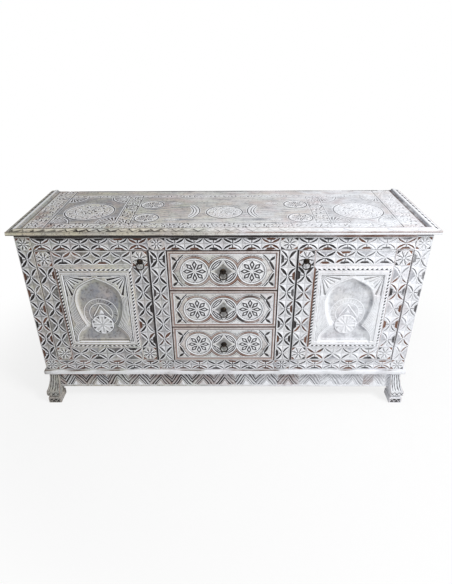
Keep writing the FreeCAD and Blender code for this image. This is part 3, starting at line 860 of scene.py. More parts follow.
def door_boss(c, p):
    """The round boss at the niche's foot with its eight-petalled flower."""
    r, fold = p.r, folded(p.x, p.z - p.eye, 8)
    c.lift(p.deep * 4.0 * (1 - ramp(r, 46.5, 49.5)) * (p.d > 8))
    c.cut(p.deep * line_cut(r - 50, 3), 0.9, 0.5 * p.fade)
    c.smoke = c.smoke * (1 - 0.8 * (r < 47))
    face = p.deep & (r < 45)
    petal = np.clip(1.3 - r * np.abs(np.sin(fold)) / (1.5 + 0.11 * r), 0, 1)
    c.cut(face * petal * (r < 41), 1.8, 0.42 * p.fade)
    between = between_rays(r, fold)
    c.cut(face * np.clip(1.3 - between / np.maximum((r - 30) * 0.45, 0.4), 0, 1) * (r > 26),
          2.0, 0.8 * p.fade)
    c.lift(face * 0.8 * line_cut(between, 5) * (r < 30))
    c.whiten_and_highlight(face * 0.65)
    c.whiten_and_highlight(p.deep * line_cut(r - 47.5, 5) * 0.8)


def door_lamp(c, p):
    """Over the boss: two rings with hatching between them, two straight legs and a small pyramid."""
    ring_z = p.eye + 57
    rise = p.z - ring_z
    ring = np.hypot(p.x, rise)
    above = p.deep & ~(p.r < 47) & (p.r > 48) & (p.z > p.eye + 2)
    wide = 2.6
    for radius in (73.5, 50):
        c.lift(above * hump(ring - radius, wide / 1.2, 1.2))
        c.smoke = c.smoke * (1 - 0.8 * above * hump(ring - radius, wide, 1.3))
        for way in (-1, 1):
            c.cut(above * line_cut(ring - radius + way * (wide + 1), 2.6), 0.6, 0.4 * p.fade)
    strokes = np.arctan2(rise, p.x) * 5.4 + 0.02 * ring
    hatch = hump(strokes % 1 - 0.5, 0.3) * (ring > 56) * (ring < 68)
    c.cut(above * hatch, 1.2, p.fade * 0.8 * chance(np.floor(strokes), 5) * np.where(p.x > -10, 1, 0.4))
    legs = away(p.x, p.z, [(-32, ring_z - 12), (0, ring_z + 42), (47, ring_z - 22)])
    c.lift(above * 1.6 * hump(legs, 3.4 / 1.2, 1.2))
    c.smoke = c.smoke * (1 - above * hump(legs, 3.4, 1.4))
    c.cut(above * line_cut(legs - 5, 3.4) * (ring < 47), 0.9, 0.65 * p.fade)
    pyramid = np.maximum(np.abs(p.x - 2) * 1.9 + (rise - 22), -(rise + 2) * 1.6)
    c.lift(above * 1.6 * np.clip(-pyramid / 14, 0, 1))
    c.whiten_and_highlight(above * 0.8 * (pyramid < -1))
    c.cut(above * line_cut(pyramid - 1, 4), 1.0, 0.6 * p.fade)


def door_panel(c, low, high):
    """All the cuts of a door's panel."""
    p = DoorPanel(c, low, high)
    door_edge(c, p)
    door_spandrels(c, p, door_niche(c, p))
    door_boss(c, p)
    door_lamp(c, p)


def door_pintles(name, low, high, body, node):
    """The two wooden pivots at the ends of an outer stile, each a turned pin with a rounded tip."""
    hinge = next(joint for joint in frame["joints"] if joint["name"] == f"door_{name}_hinge")
    x, y = (v * MM for v in hinge["pos_m"][:2])
    profile, around = ((0, 5), (11, 5), (13, 4.4), (13.8, 3)), 24
    points, faces = [], []
    for foot, way in ((low[2], -1), (high[2], 1)):
        sides, ends = tube(len(profile), around, first=len(points))
        faces += [*sides, *ends]
        for up, radius in profile:
            for k in range(around):
                turn = k * math.tau / around * way
                points.append((x + radius * math.cos(turn), y + radius * math.sin(turn), foot + way * up))
    piece = build_mesh(f"door_{name}_pintles", points, [], faces, {}, bare_wood("plain_boards"))
    dress(piece, body, "limed_wood", node)


def carve_doors():
    """Both doors: panels, and star bands on the stiles and rails round them."""
    for k, (name, side) in enumerate(SIDES.items()):
        body = f"door_{name}"
        low, high = box_mm(f"{body}_panel")
        stile_low, stile_high = box_mm(f"{body}_inner_stile")
        half = (stile_high[0] - stile_low[0]) / 2
        runs = [(stile_low[2], low[2], 0), (low[2], high[2], 5), (high[2], stile_high[2], 0)]
        for place, seed in (("inner", 20), ("outer", 23)):
            node = f"{body}_{place}_stile"
            board_low, board_high = box_mm(node)
            board_low[2], board_high[2] = stile_low[2], stile_high[2]
            centre = (board_low[0] + board_high[0]) / 2

            def stile(c):
                rounding = 8
                band(c, c.b, c.a - centre, half - 3, runs)
                rim = np.abs(c.a - centre) > half - 3
                c.rub_and_brown_shade(0.7 * rim)
                # Painted shade along the gap between the inner stile and the post beside it.
                c.wax_and_shade(0.95 * rim * (place == "inner") * (np.abs(c.a) < abs(centre)))
                if place == "outer":
                    e = np.clip(rounding - (half + (centre - c.a) * side), 0, rounding)
                    c.sink(rounding - np.sqrt(rounding ** 2 - e ** 2))

            carved_board(f"{node}_carved", board_low, board_high, stile, limed_wood("limed_wood_z", "z"),
                         body, node, seed=seed + k)
            if place == "outer":
                door_pintles(name, board_low, board_high, body, node)
        for place, seed, lift, caps in (("top", 26, 4, (0.75, 0.25)), ("bottom", 29, 0, (0.35, 0.35))):
            node = f"{body}_{place}_rail"
            rail_low, rail_high = box_mm(node)

            def rail(c):
                band(c, c.a, c.b - (rail_low[2] + rail_high[2]) / 2 - lift, half - 3 - lift,
                     [(rail_low[0], rail_high[0], 4)], caps)

            board_like(node, body, rail, "x", seed + k)
        board_like(f"{body}_panel", body, lambda c: door_panel(c, low, high), "z", 32 + k, arris=0.8)


def drawer_front(c, low, high, number):
    """Worn lip, raised border line, three ringed circles between ogee points, rosettes, a lens diamond."""
    x = c.a - (low[0] + high[0]) / 2
    y = c.b - (low[2] + high[2]) / 2 + 4
    ux, uy, e = np.abs(x), np.abs(y), edge_distance(c.a, c.b)
    c.sink(3 * ramp(e, 11, 13.5))
    c.rub_and_brown_shade(np.select([e < 4, e < 8, e < 13], [1.0, 0.35, 1.0], 0))
    c.wax_and_shade(0.75 * (e < 1.6))
    c.cut(line_cut(e - 13.2, 2.8), 0.5, 0.55)
    c.rib(e - 16, 2.2, 1.2)

    # The brown ground of the roundels, out to an ogee point at either end
    drawn_pitch, circle, outer_circle, bare_from = 118, 56.5, 72, 59
    pitch = drawn_pitch if number == 1 else 113.5

    def at(k, h):
        """A place drawn on the top drawer, moved with this drawer's roundels."""
        return pitch + (k - drawn_pitch) * pitch / drawn_pitch, h

    spot = np.clip(np.round(x / pitch), -1, 1)
    cx = x - spot * pitch
    r = np.hypot(cx, y)
    ogee = smooth_line([at(*place) for place in OGEE_PLACES])
    rim = away(ux, uy, ogee)
    field, far = e > 17.5, ux > pitch + 42
    rim_x, rim_y = np.array(ogee[::-1]).T
    within = np.where(far, ux < np.interp(uy, rim_y, rim_x), r < 71.5)
    ground = field * within
    c.rub_and_brown_shade(ground * (r > bare_from) * np.where(far, 0.5, 0.72))
    c.sink(ground * ramp(r, 58, 60))
    c.sink(ground * (1 - ramp(r, 53.5, 55)))
    c.rib(r - circle, 2.9, 1.2, 0.75, field)
    c.rib(r - outer_circle, 1.9, 0.9, 0.7, field * ~far)
    c.rib(rim, 3.4, 1.6, 0.8, field * far)
    c.whiten_and_highlight(field * 0.8 * np.maximum(line_cut(r - circle, 5), far * line_cut(rim, 7)))
    shaded = ground * (r > bare_from) * ramp(c.drift(120, 60 + number), -0.1, 0.5)
    c.wax_and_shade(shaded * np.where((number == 2) & (spot > 0), 0.8, 0.3))
    c.worn = c.worn * (1 - field * hump(r - circle, 3, 1.3)) * (1 - field * far * hump(rim, 3, 1.3))
    for start, stop, width, bow in OGEE_LEAVES:
        black = 1.0 if number == 2 else 0.85
        c.cut(field * ~within * leaf(ux, uy, at(*start), at(*stop), width, bow), 3.2, black)

    # A flower in each end roundel, four lenses round a diamond in the middle one
    end, middle = (field & (np.abs(spot) > 0.5) & (r < 53.5)), (field & (np.abs(spot) < 0.5) & (r < 54))
    kites(c, cx, y, 52, 12, 7.4, end, 3.0, 1.0 if number < 3 else 0.9)
    c.whiten_and_highlight(end * 0.45)
    reach = 54
    along = np.clip((reach - ux + uy) / (2 * reach), 0, 1)
    across = (ux + uy - reach) / math.sqrt(2)
    lens = 8.5 * np.sin(math.pi * along) - np.abs(across)
    c.rib(lens, 2.2, 1.0, 0.0, middle)
    c.cut(middle * line_cut(lens - 3.6, 5.2), 2.4, 0.95)
    c.cut(middle * line_cut(lens + 3.6, 5) * (across > 0), 1.4, 0.85)
    c.cut(middle * ramp(-across, 9, 16) * ramp(-lens, 3, 8) * 0.8, 1.2, 0.5)
    c.wax_and_shade(middle * 0.5 * (1 - ramp(r, 9, 17)))


def carve_drawers():
    """The three drawer fronts."""
    for number in DRAWERS:
        node = f"drawer_{number}_front"
        low, high = box_mm(node)
        board_like(node, f"drawer_{number}", lambda c: drawer_front(c, low, high, number), "x", 40 + number)


def foliage(c, a, b, size, where, deep, tone, seed=0):
    """Leaf cuts scattered over a region: one to each square of a loose net."""
    shape = np.zeros(a.shape)
    for i in (-1, 0, 1):
        for j in (-1, 0, 1):
            col, row = np.floor(a / size) + i, np.floor(b / size) + j
            key = col * 37 + row * 101
            x = a - (col + 0.15 + 0.7 * chance(key, seed)) * size
            y = b - (row + 0.15 + 0.7 * chance(key, seed + 1)) * size
            turn = math.tau * chance(key, seed + 2)
            along = (x * np.cos(turn) + y * np.sin(turn)) / (0.66 * size)
            across = (y * np.cos(turn) - x * np.sin(turn)) / (0.24 * size)
            bent = across + 0.7 * along ** 2 - 0.3
            shape = np.maximum(shape, (1 - along ** 2 - np.abs(bent)) * (0.6 + 0.6 * chance(key, seed + 3)))
    c.cut(where * np.clip(1.6 * shape, 0, 1), deep, tone)


def rim_width(y, r):
    """A circle's cut on the top is wider where it runs along the cabinet."""
    return 4.4 + 4 * np.abs(y) / np.maximum(r, 1)


def medallion(c, x, y, radius, deep, tone, seed, lobes=8):
    """A ringed circle of leaf cuts round a lobed flower, paler than the ground about it."""
    r = np.hypot(x, y)
    wide = rim_width(y, r)
    c.cut(line_cut(r - radius, wide), deep, tone)
    c.lift(0.9 * line_cut(r - radius + wide, 1.1 * wide))
    lobe = radius * (0.56 - 0.12 * swing(np.arctan2(y, x) / math.tau * lobes + 0.5) ** 2)
    c.lift(0.8 * line_cut(r - lobe, 6))
    c.cut(line_cut(r - lobe - 4.5, 4.4), deep, tone * 0.8)
    c.cut(line_cut(r - radius * 0.2, 4.4), deep, tone * 0.8)
    foliage(c, x, y, radius * 0.12 + 5, (r < radius - 9) & (np.abs(r - lobe) > 5), deep, tone * 0.65, seed)
    c.whiten_and_highlight(0.4 * (r < radius - wide))


def quarter_fan(c, x, y, radius, deep, tone):
    """A quarter circle of radiating flutes in a compartment's corner; x and y point into the compartment."""
    r, here, flutes = np.hypot(x, y), (x > 0) & (y > 0), 6
    wide = rim_width(y, r)
    turn = np.arctan2(y, x) / (math.pi / 2) * flutes
    flute = hump(turn % 1 - 0.5, 0.3, 1.2) * np.clip((r - 18) / 10, 0, 1)
    c.cut(here * flute * np.clip((radius - 9 - r) / 3, 0, 1), deep, tone * 0.8)
    c.cut(here * line_cut(r - radius, wide), deep, tone)
    c.lift(here * 0.9 * line_cut(r - radius + wide, 1.1 * wide))
    c.cut(here * line_cut(r - 14, 4), deep, tone)


class TopPlaces:
    """Places on the top: x from the middle, y from the front edge, and the regions between its lines."""

    def __init__(self, c):
        self.deep, self.tone = c.sizes.top_depth, 0.8
        self.x, self.y, self.ux = c.a, c.b - FRONT_EDGE, np.abs(c.a)
        # left rises towards the left end of the top; the grounds and cuts use it for painted light falloff,
        # darker and greyer away from the lamp.
        self.left = 1 - ramp(c.a, -500, 300)
        self.inner = (self.y > 108) & (self.y < 446)
        self.front = (self.y > 52) & (self.y < 104) & (self.ux < 714)
        self.back = (self.y > 450) & (self.y < 470) & (self.ux < 714)
        self.ends = (self.ux > 730) & (self.ux < 800)
        self.strip = (self.ux > 384) & (self.ux < 438) & self.inner


def top_borders(c, p):
    """The leafy border and the lines that bound it and the strips between the compartments."""
    foliage(c, p.x, p.y / 1.2, 17, p.front | p.back | p.ends, p.deep, p.tone * 0.7, 1)
    c.rub_and_brown_shade(0.7 * p.left * (p.ends | p.front) * ramp(drift(p.x, p.y, 130, 41), 0.15, 0.5))
    c.whiten_and_highlight(0.4 * (p.front | p.back | p.ends))
    for spot, wide in ((108, 7), (447, 6), (474, 6), (536, 6)):
        c.cut(line_cut(p.y - spot, wide) * (p.ux < 716), p.deep * 0.7, p.tone * 0.8)
        c.lift(0.8 * line_cut(p.y - spot + wide, wide) * (p.ux < 716))
    for spot in (718, 803):
        c.cut(line_cut(p.ux - spot, 4.6), p.deep * 0.8, p.tone)
    c.lift(0.9 * line_cut(p.ux - 725, 5))
    for spot in (381, 441):
        c.cut(line_cut(p.ux - spot, 4.4) * p.inner, p.deep * 0.7, p.tone * 0.7)
        c.lift(line_cut(p.ux - spot - 4.5, 4.6) * p.inner)
    hole = np.hypot(p.ux - 410, p.y - 313)
    foliage(c, p.x, p.y / 1.2, 17, p.strip & (hole > 26), p.deep, p.tone * 0.7, 4)
    c.cut(p.strip * line_cut(hole - 25, 5), p.deep, p.tone)
    kites(c, p.ux - 410, p.y - 313, 22, 5, 3.6, hole < 23, p.deep * 0.7, p.tone * 0.7)


def top_ends(c, p):
    """The wheel in each end compartment and the fans in its corners."""
    medallion(c, p.ux - 584, p.y - 252, 106, p.deep, p.tone, 7)
    for corner_x, way_x in ((712, -1), (446, 1)):
        for corner_y, way_y in ((112, 1), (442, -1)):
            quarter_fan(c, (p.ux - corner_x) * way_x, (p.y - corner_y) * way_y, 76, p.deep, p.tone * 0.85)


def top_middle(c, p):
    """The cartouche between crescents, two lenses and four small flowers in the middle compartment."""
    for spot_x, spot_y in ((324, 169), (322, 339)):
        x, y = p.ux - spot_x, p.y - spot_y
        r = np.hypot(x, y)
        c.cut(line_cut(r - 51, rim_width(y, r)), p.deep, p.tone)
        c.lift(0.9 * line_cut(r - 45, 6))
        kites(c, x, y, 42, 9, 6, r < 43, p.deep, p.tone * 0.85)
    medallion(c, p.x - 4, p.y - 240, 78, p.deep, p.tone * 0.9, 11, 10)
    hub = np.hypot(p.ux - 243, p.y - 250)
    near = (p.ux < 150) & (np.abs(p.y - 250) < 78)
    for radius, wide in ((139, 5), (124, 4.6), (112, 4)):
        c.cut(near * line_cut(hub - radius, wide), p.deep, p.tone)
        c.lift(near * line_cut(hub - radius + 6, 7))
    for spot in (145, 352):
        lens = 11 * np.cos(np.clip((p.ux - 217) / 30, -1, 1) * math.pi / 2) - np.abs(p.y - spot)
        c.cut(line_cut(lens, 5.5) * (np.abs(p.ux - 217) < 30), p.deep, p.tone * 0.7)
        c.lift(0.8 * ramp(lens, 3, 6) * (np.abs(p.ux - 217) < 30))
    c.whiten_and_highlight(0.5 * near * (hub > 113) * (hub < 137))


def top_grounds(c, p):
    """Smoke on the uncarved grounds: in rings of growth and in a long wedge; it lies deeper towards the left,
    and the cuts grow darker and browner there, as painted light falloff.
    """
    ground = p.inner * (1 - ramp(c.pale, 0.1, 0.3)) * (1 - p.strip)
    c.grey_and_shade(ground * (p.ux > 441) * 0.75)
    plain = ground * (p.ux < 378) * (c.dark < 0.04)
    rings = np.abs(p.y - 250 + 10 * drift(p.x, p.y, 300, 6) + 20 * np.cos(p.x / 150)) / 23
    vein = hump(rings % 1 - 0.5, 0.3, 1.2)
    c.grey_and_shade(plain * vein * ramp(drift(p.x, p.y * 2, 420, 3), -0.5, 0.2))
    half = 13 * np.clip((p.ux - 10) / 185, 0, 1) * (p.ux < 200)
    streak = ramp(half - np.abs(p.y - 150 + 0.06 * (200 - p.ux)), -1, 3) * (half > 0.5)
    c.smoke = np.maximum(c.smoke * (0.45 + 0.55 * p.left), streak)
    c.sink(plain * 0.35 * vein)
    c.cut(line_cut(p.y - 540, 12), 0.3, 0.55 + 0.35 * drift(p.x, p.y, 330, 43), 0.4)
    c.rub_and_brown_shade((0.35 + 0.3 * p.left) * (c.dark > 0.12))
    c.dark = np.clip(c.dark * (0.95 + 0.25 * p.left), 0, 1)


def top_panel(c):
    """Three compartments in a leafy border: a wheel at each end, a cartouche between crescents."""
    p = TopPlaces(c)
    for carve in (top_borders, top_ends, top_middle, top_grounds):
        carve(c, p)


def carve_top():
    """The top panel, carved on its upper face."""
    low, high = box_mm("top_panel")
    (post_x, *_), (_, post_y, post_top) = box_mm("corner_post_right")
    cuts = (low[0], low[0] / 3, high[0] / 3, high[0])
    for name, start, end in zip(("left", "middle", "right"), cuts, cuts[1:]):
        carved_board(f"top_panel_{name}", (start, low[1], post_top), (end, high[1], high[2]), top_panel,
                     limed_wood("limed_wood_top", "x", 0.45, 1.1, 0.5), "carcass", "top_panel", "top",
                     bpy.context.scene.sideboard_carving.top_grid, 50, 0.0)

    # The plain underside, notched round the corner posts
    outline = [(-post_x, low[1]), (post_x, low[1]), (post_x, post_y), (high[0], post_y), (high[0], high[1]),
               (low[0], high[1]), (low[0], post_y), (-post_x, post_y)]
    count = len(outline)
    points = [(x, y, z) for z in (low[2], post_top) for x, y in outline]
    faces = [list(range(count))[::-1], list(range(count, 2 * count))]
    faces += [[k, (k + 1) % count, (k + 1) % count + count, k + count] for k in range(count)]
    piece = build_mesh("top_panel_core", points, [], faces, {}, bare_wood("plain_boards"))
    dress(piece, "carcass", "limed_wood", "top_panel")


def moulding_profile():
    """The top moulding's section as (in from the outer edge, above the lip's underside), in mm."""
    corners = [(0, 0.6), (0, 8), (2.5, 8.75), (0, 9.5), (0, 14), (26, 20), (31, 20), (33, 17.5), (36, 13.6),
               (40, 11.4), (44, 11), (48, 11), (48, 0), (0.6, 0)]
    step = 1.5
    out = []
    for (d0, h0), (d1, h1) in zip(corners, corners[1:] + corners[:1]):
        hidden = h0 + h1 <= 1.3 or d0 + d1 >= 95
        count = 1 if hidden else max(1, int(math.hypot(d1 - d0, h1 - h0) / step))
        out += [(d0 + (d1 - d0) * t, h0 + (h1 - h0) * t) for t in np.linspace(0, 1, count, endpoint=False)]
    return np.array(out)


def swept_moulding(node, place, spread, carve, material, seed):
    """Draws the top moulding's section along its length; place turns it to x, y and z."""
    profile = moulding_profile()
    rows, cols = int(spread / bpy.context.scene.sideboard_carving.grid), len(profile)
    s, k = np.meshgrid(np.linspace(0, 1, rows), np.arange(cols), indexing="ij")
    d, h = profile[k, 0], profile[k, 1]
    c = Carving(s * spread, d, seed)
    visible = h > 0.9
    carve(c, d, h)
    x, y, z = place(s, d, h + np.minimum(c.height(), 0) * visible)
    readings = {"dark": c.dark * visible, "worn": c.worn, "crest": c.pale, "smoke": c.smoke,
                "wash": limewash(x, y, z)}
    points = np.stack([x, y, z], -1)
    start = points[0, 0]
    flip = np.linalg.det([points[1, 0] - start, points[0, 1] - start, points.mean((0, 1)) - start]) < 0
    piece = build_mesh(f"{node}_carved", points.reshape(-1, 3), *tube(rows, cols, flip), readings, material)
    dress(piece, "carcass", "limed_wood", node)


def zigzag(c, d, h):
    """Raised light triangles along the sloping band between two dark lines, and a plain lip."""
    # right carries painted light falloff: the front moulding pales towards the right, near the lamp, and its
    # dark lines turn brown there.
    right = ramp(c.a, 500, 1100)
    on = (d > 4) & (d < 25.5) & (h > 13)
    tooth = np.floor(c.a / 43)
    wave = d - 7 - 15 * swing(c.a / 43)
    lower = on * ramp(-wave, -0.5, 1.5)
    c.sink(1.1 * lower)
    c.cut(lower * np.clip(-wave / 3, 0, 1), 0.8, (0.2 + 0.5 * chance(tooth, 2)) * (1 - 0.6 * right))
    c.cut(on * line_cut(wave, 5.2), 0.6, (0.4 + 0.5 * chance(tooth, 3)) * (1 - 0.5 * right))
    c.whiten_and_highlight(on * 0.45 * (1 - lower) * (0.75 + 0.25 * right))
    c.whiten_and_highlight(0.45 * right)
    c.cut(line_cut(d - 3.2, 7.5) * (h > 13), 0.5, 1.0 - 0.85 * right, 0.3 + 0.5 * right)
    c.cut(line_cut(d - 28.6, 6.4) * (h > 19), 0.3, 0.95 - 0.7 * right, 0.2 + 0.5 * right)
    c.cut(line_cut(h - 1.5, 5) * (d < 3), 0.3, 0.75 - 0.6 * right, 0.4)
    c.rub_and_brown_shade((h > 8) * (h < 14) * (d < 2) * (0.25 + 0.6 * right))
    c.rub_and_brown_shade(0.25 * ((h <= 8) & (d < 2)))
    c.cut(line_cut(d - 38, 5) * (d > 34), 0.3, 0.5)


def dashes(c, d, h, cove):
    """A groove of dark dashes down an end moulding, a pale rib and a cove inside it."""
    c.rub_and_brown_shade(0.85 * ((d < 3) & (h > 12)))
    c.whiten_and_highlight(0.3 * ramp(d, 3, 5) * (1 - ramp(d, 8, 10)))
    c.cut(line_cut(d - 14.5, 5) * (h > 13), 0.9, 0.35, 0.5)
    c.cut(line_cut(d - 14.5, 11) * (h > 13) * ramp(0.7 - swing(c.a / 38), 0, 0.2), 1.9, 1.0)
    c.whiten_and_highlight(0.7 * ramp(d, 20, 22) * (1 - ramp(d, 31, 33)))
    # Painted shade in the cove: grey, dark and brown, by the share that cove gives.
    inner = ramp(d, 32, 42) * (1 - ramp(d, 43, 45))
    c.grey_and_shade(ramp(d, 32, 35) * (1 - ramp(d, 41, 44)) * 0.9)
    c.wax_and_shade(inner * cove)
    c.rub_and_brown_shade(inner * cove * 1.2)
    c.cut(line_cut(d - 44.5, 6) * (d > 34), 0.3, 0.5, 0.8)


def carve_top_mouldings():
    """The three mouldings that stand round the top panel."""
    half, front, back = (v * MM for v in (CAD_BOX[1][0], CAD_BOX[0][1], CAD_BOX[1][1]))
    base = box_mm("top_moulding_front")[0][2]
    swept_moulding("top_moulding_front", lambda s, d, h: ((2 * s - 1) * (half - d), front + d, base + h),
                   half * 2, zigzag, limed_wood("limed_wood_cream", "x", 0.9), 60)
    for name, side in SIDES.items():
        # The cove's painted shade is darker on the right end, whose cove faces away from the lamp.
        swept_moulding(f"top_moulding_{name}",
                       lambda s, d, h: (side * (half - d), front + d + s * (back - front - d), base + h),
                       back - front, lambda c, d, h: dashes(c, d, h, 0.36 + 0.1 * side),
                       limed_wood("limed_wood_y", "y"), 61)


def carve_apron():
    """The apron: a zigzag rib between two cuts on either side, and raised chips in its angles."""
    low, high = box_mm("apron")
    pitch = 101

    def apron(c):
        foot, top = low[2] + 11, high[2] - 4
        rise = top - foot
        place = (c.a + 5 * c.drift(80, 2)) / pitch
        leg = np.floor(place * 2)
        off = (c.b - foot - swing(place) * rise) / math.hypot(1, rise / (pitch / 2))
        on = (c.b > foot) & (c.b < top)
        # Paler cuts and whiter towards the right: painted light falloff from the lamp.
        fade = 0.95 - 0.5 * ramp(c.a, -100, 600)
        c.whiten_and_highlight(on * 0.4 * ramp(c.a, 0, 600))
        c.sink(on * 0.8)
        c.lift(on * hump(off, 3, 1.2))
        c.whiten_and_highlight(on * 0.8 * line_cut(off, 6))
        for k in (8, 18):
            for way in (-1, 1):
                c.cut(on * line_cut(off - k * way, 8), 2.8, (0.4 + 0.6 * chance(leg * 3 + k * way, 9)) * fade)
                c.whiten_and_highlight(on * 0.6 * line_cut(off - (k + 5) * way, 4))
        chip = on * np.clip((np.abs(off) - 26) / 2, 0, 1)
        c.lift(chip * 0.9)
        c.whiten_and_highlight(chip * 0.8)
        c.grey_and_shade(on * (1 - chip) * 0.6)
        c.rub_and_brown_shade(on * (chance(leg, 6) > 0.62) * 0.6)
        c.rub_and_brown_shade(0.9 * ((c.b > top - 18) & (c.a < -560)))
        c.cut(line_cut(c.b - low[2], 6), 0.3, 0.5)

    board_like("apron", "carcass", apron, "x", 70)


def foot_profile(z, neck, swell, bulge, notch, block):
    """How far a foot's side stands out at each height above the floor."""
    heights = [0, 3, 29, 32, 33.5, 38, 42, 52, 60, 71, 90, 113, 140, 170]
    outs = [block - 5, block, block, block - 4, notch, notch, bulge - 5, bulge, bulge, bulge - 0.5,
            neck + 0.62 * (bulge - neck), swell, neck + 0.25 * (swell - neck), neck]
    return np.interp(z, heights, outs)


def foot_sides(z):
    """Where the right front foot's inner, outer, front and back sides stand at each height."""
    inner = np.interp(z, (0, 3, 29, 32, 33.5, 38, 42, 52, 71, 170), (17, 12, 12, 16, 25, 25, 14, 9, 9, 0))
    return (776 + inner, 822 + foot_profile(z, 0, 8.9, 27, 13, 26),
            -252.5 - foot_profile(z, 0, 6.6, 20, 3, 16), -200.5 + foot_profile(z, 0, 0, 5, -3, 10))


def foot_cuts(u, z, size):
    """Depth and wax of a foot side's cuts: flutes on the neck, crosses on the bulge, scrolls on the block."""
    depth, dark = np.zeros_like(u), np.zeros_like(u)
    v = u / (size / 2)

    def cut(shape, deep, tone):
        nonlocal depth, dark
        depth = np.maximum(depth, shape * deep)
        dark = np.maximum(dark, ramp(shape, 0.1, 0.6) * tone)

    neck = np.clip(np.minimum((z - 74) / 6, (163 - z) / 5), 0, 1)
    for k, at in enumerate((-0.66, -0.25, 0.25, 0.66)):
        wander = 0.04 * np.sin(z / 11 + k)
        cut(neck * line_cut((v - at - wander) * size / 2, 5.5), 2.8, 0.55 + 0.35 * np.sin(z / 9 + 2 * k) ** 2)
    bulge = (z > 45) & (z < 70)
    cell = (v * 1.5 + 0.5) % 1 - 0.5
    cross = np.abs(np.abs(cell) * size / 3 - np.abs(z - 57.5) * 0.95)
    cut(bulge * line_cut(cross, 6) * (np.abs(z - 57.5) < 11), 3.0, 0.85)
    cut(line_cut(z - 72, 2.4), 0.9, 0.6)
    cut(line_cut(z - 44, 2.4), 0.6, 0.5)
    sunk = ramp(np.minimum((1 - np.abs(v)) * size / 2 - 5, np.minimum(z - 5, 28 - z)), 0, 2)
    wave = z - 16.5 - 6 * np.sin(v * 9)
    cut(sunk * 0.8, 2.4, 0.8)
    depth = depth - sunk * 1.9 * hump(wave, 3)
    dark = dark * (1 - 0.9 * sunk * hump(wave, 3, 1.3))
    return depth, dark


def foot_ring(z, x0, x1, y0, y1):
    """One level of a foot: x, y, z, wax and wear along its four sides and rounded corners."""
    side_count, corner_count, radius, plain_wear, corner_wear = 34, 5, 4.0, 0.1, 0.6
    ring = []
    for cx, cy, dx, dy in ((x0, y0, 1, 0), (x1, y0, 0, 1), (x1, y1, -1, 0), (x0, y1, 0, -1)):
        size = (x1 - x0) if dx else (y1 - y0)
        run = np.linspace(radius, size - radius, side_count)
        level, still = np.full_like(run, z), np.zeros_like(run)
        if dx > 0 or dy > 0:
            depth, tone, wear = *foot_cuts(run - size / 2, level, size), still
        else:
            depth, tone, wear = still, still, still + plain_wear
        nx, ny = dy, -dx
        ring += zip(cx + dx * run - nx * depth, cy + dy * run - ny * depth, level, tone, wear)
        inner_x, inner_y = (c + d * (size - radius) - n * radius for c, d, n in ((cx, dx, nx), (cy, dy, ny)))
        for j in range(1, corner_count + 1):
            turn = math.atan2(ny, nx) + math.pi / 2 * j / (corner_count + 1)
            ring.append((inner_x + radius * math.cos(turn), inner_y + radius * math.sin(turn),
                         z, 0, corner_wear))
    return ring


def carve_feet():
    """Feet: a fluted neck swelling to a band of crossed squares over a carved block."""
    level = 1.7
    for way in ("front", "back"):
        for name, side in SIDES.items():
            node = f"foot_{way}_{name}"
            low, high = (np.array(v) for v in box_mm(node))
            z_line = np.linspace(0, high[2], int(high[2] / level))
            rings = np.array([foot_ring(*spot) for spot in zip(z_line, *foot_sides(z_line))])
            mirror = (side, 1 if way == "front" else -1, 1)
            points = np.clip(rings[..., :3] * mirror, low, high)
            dark, worn = rings[..., 3], rings[..., 4]
            # The feet's uncut faces pale towards the right: painted light falloff from the lamp.
            readings = {"dark": dark, "worn": worn, "crest": 0.5 * (1 - dark) * ramp(points[..., 0], 0, 600),
                        "smoke": np.full(dark.shape, 0.3), "wash": limewash(*np.moveaxis(points, -1, 0))}
            sides, ends = tube(*dark.shape, (way == "back") != (side < 0))
            piece = build_mesh(f"{node}_carved", points.reshape(-1, 3), sides, ends, readings,
                               limed_wood("limed_wood_z", "z"))
            dress(piece, "carcass", "limed_wood", node)


def round_base_board():
    """The base board: a plain thick board whose edge is the light moulding, nosed on three sides."""
    low, high = box_mm("base_board")
    nose, flat = [(0, 5), (0.6, 2.6), (2.2, 0.8), (5, 0)], 14
    section = [(flat, low[2])] + [(d, low[2] + up) for d, up in nose[::-1]]
    section += [(d, high[2] - up) for d, up in nose] + [(flat, high[2])]
    rows = []
    for inset, level in section:
        left, right, front, rear = low[0] + inset, high[0] - inset, low[1] + inset, high[1]
        corners = [(left, front), (right, front), (right, rear), (left, rear)]
        edges = zip(corners, corners[1:] + corners[:1], (120, 40, 120, 40))
        rows.append([(x0 + (x1 - x0) * t, y0 + (y1 - y0) * t, level) for (x0, y0), (x1, y1), steps in edges
                     for t in np.linspace(0, 1, steps, endpoint=False)])
    points = np.array(rows)
    x, y, z = np.moveaxis(points, -1, 0)
    y += np.where(y < 0, np.abs(0.5 * drift(x, y, 230, 12)), 0)
    upper = ramp(z, high[2] - 3.5, high[2] - 1) * ramp(drift(x, y, 240, 52), -0.2, 0.4)
    patch = ramp(drift(x, z * 6, 190, 53), -0.3, 0.6)
    readings = {"dark": 0.5 * upper, "worn": 0.1 + 0.6 * upper, "crest": 0.8 - 0.5 * upper - 0.3 * patch,
                "smoke": 0.4 * patch, "wash": limewash(x, y, z), "plain": np.zeros(x.shape)}
    for key, values in readings.items():
        values[[0, -1]] = float(key == "plain")
    piece = build_mesh("base_board_nosed", points.reshape(-1, 3), *tube(*x.shape), readings,
                       limed_wood("limed_wood_x", "x"))
    dress(piece, "carcass", "limed_wood", "base_board")


def finish_plain_nodes(names, material):
    """Gives solids that show as they are one material."""
    for node in names:
        piece = frame["nodes"][node]
        if not piece.data.materials:
            piece.data.materials.append(material)
        for slot in piece.material_slots:
            slot.material = material


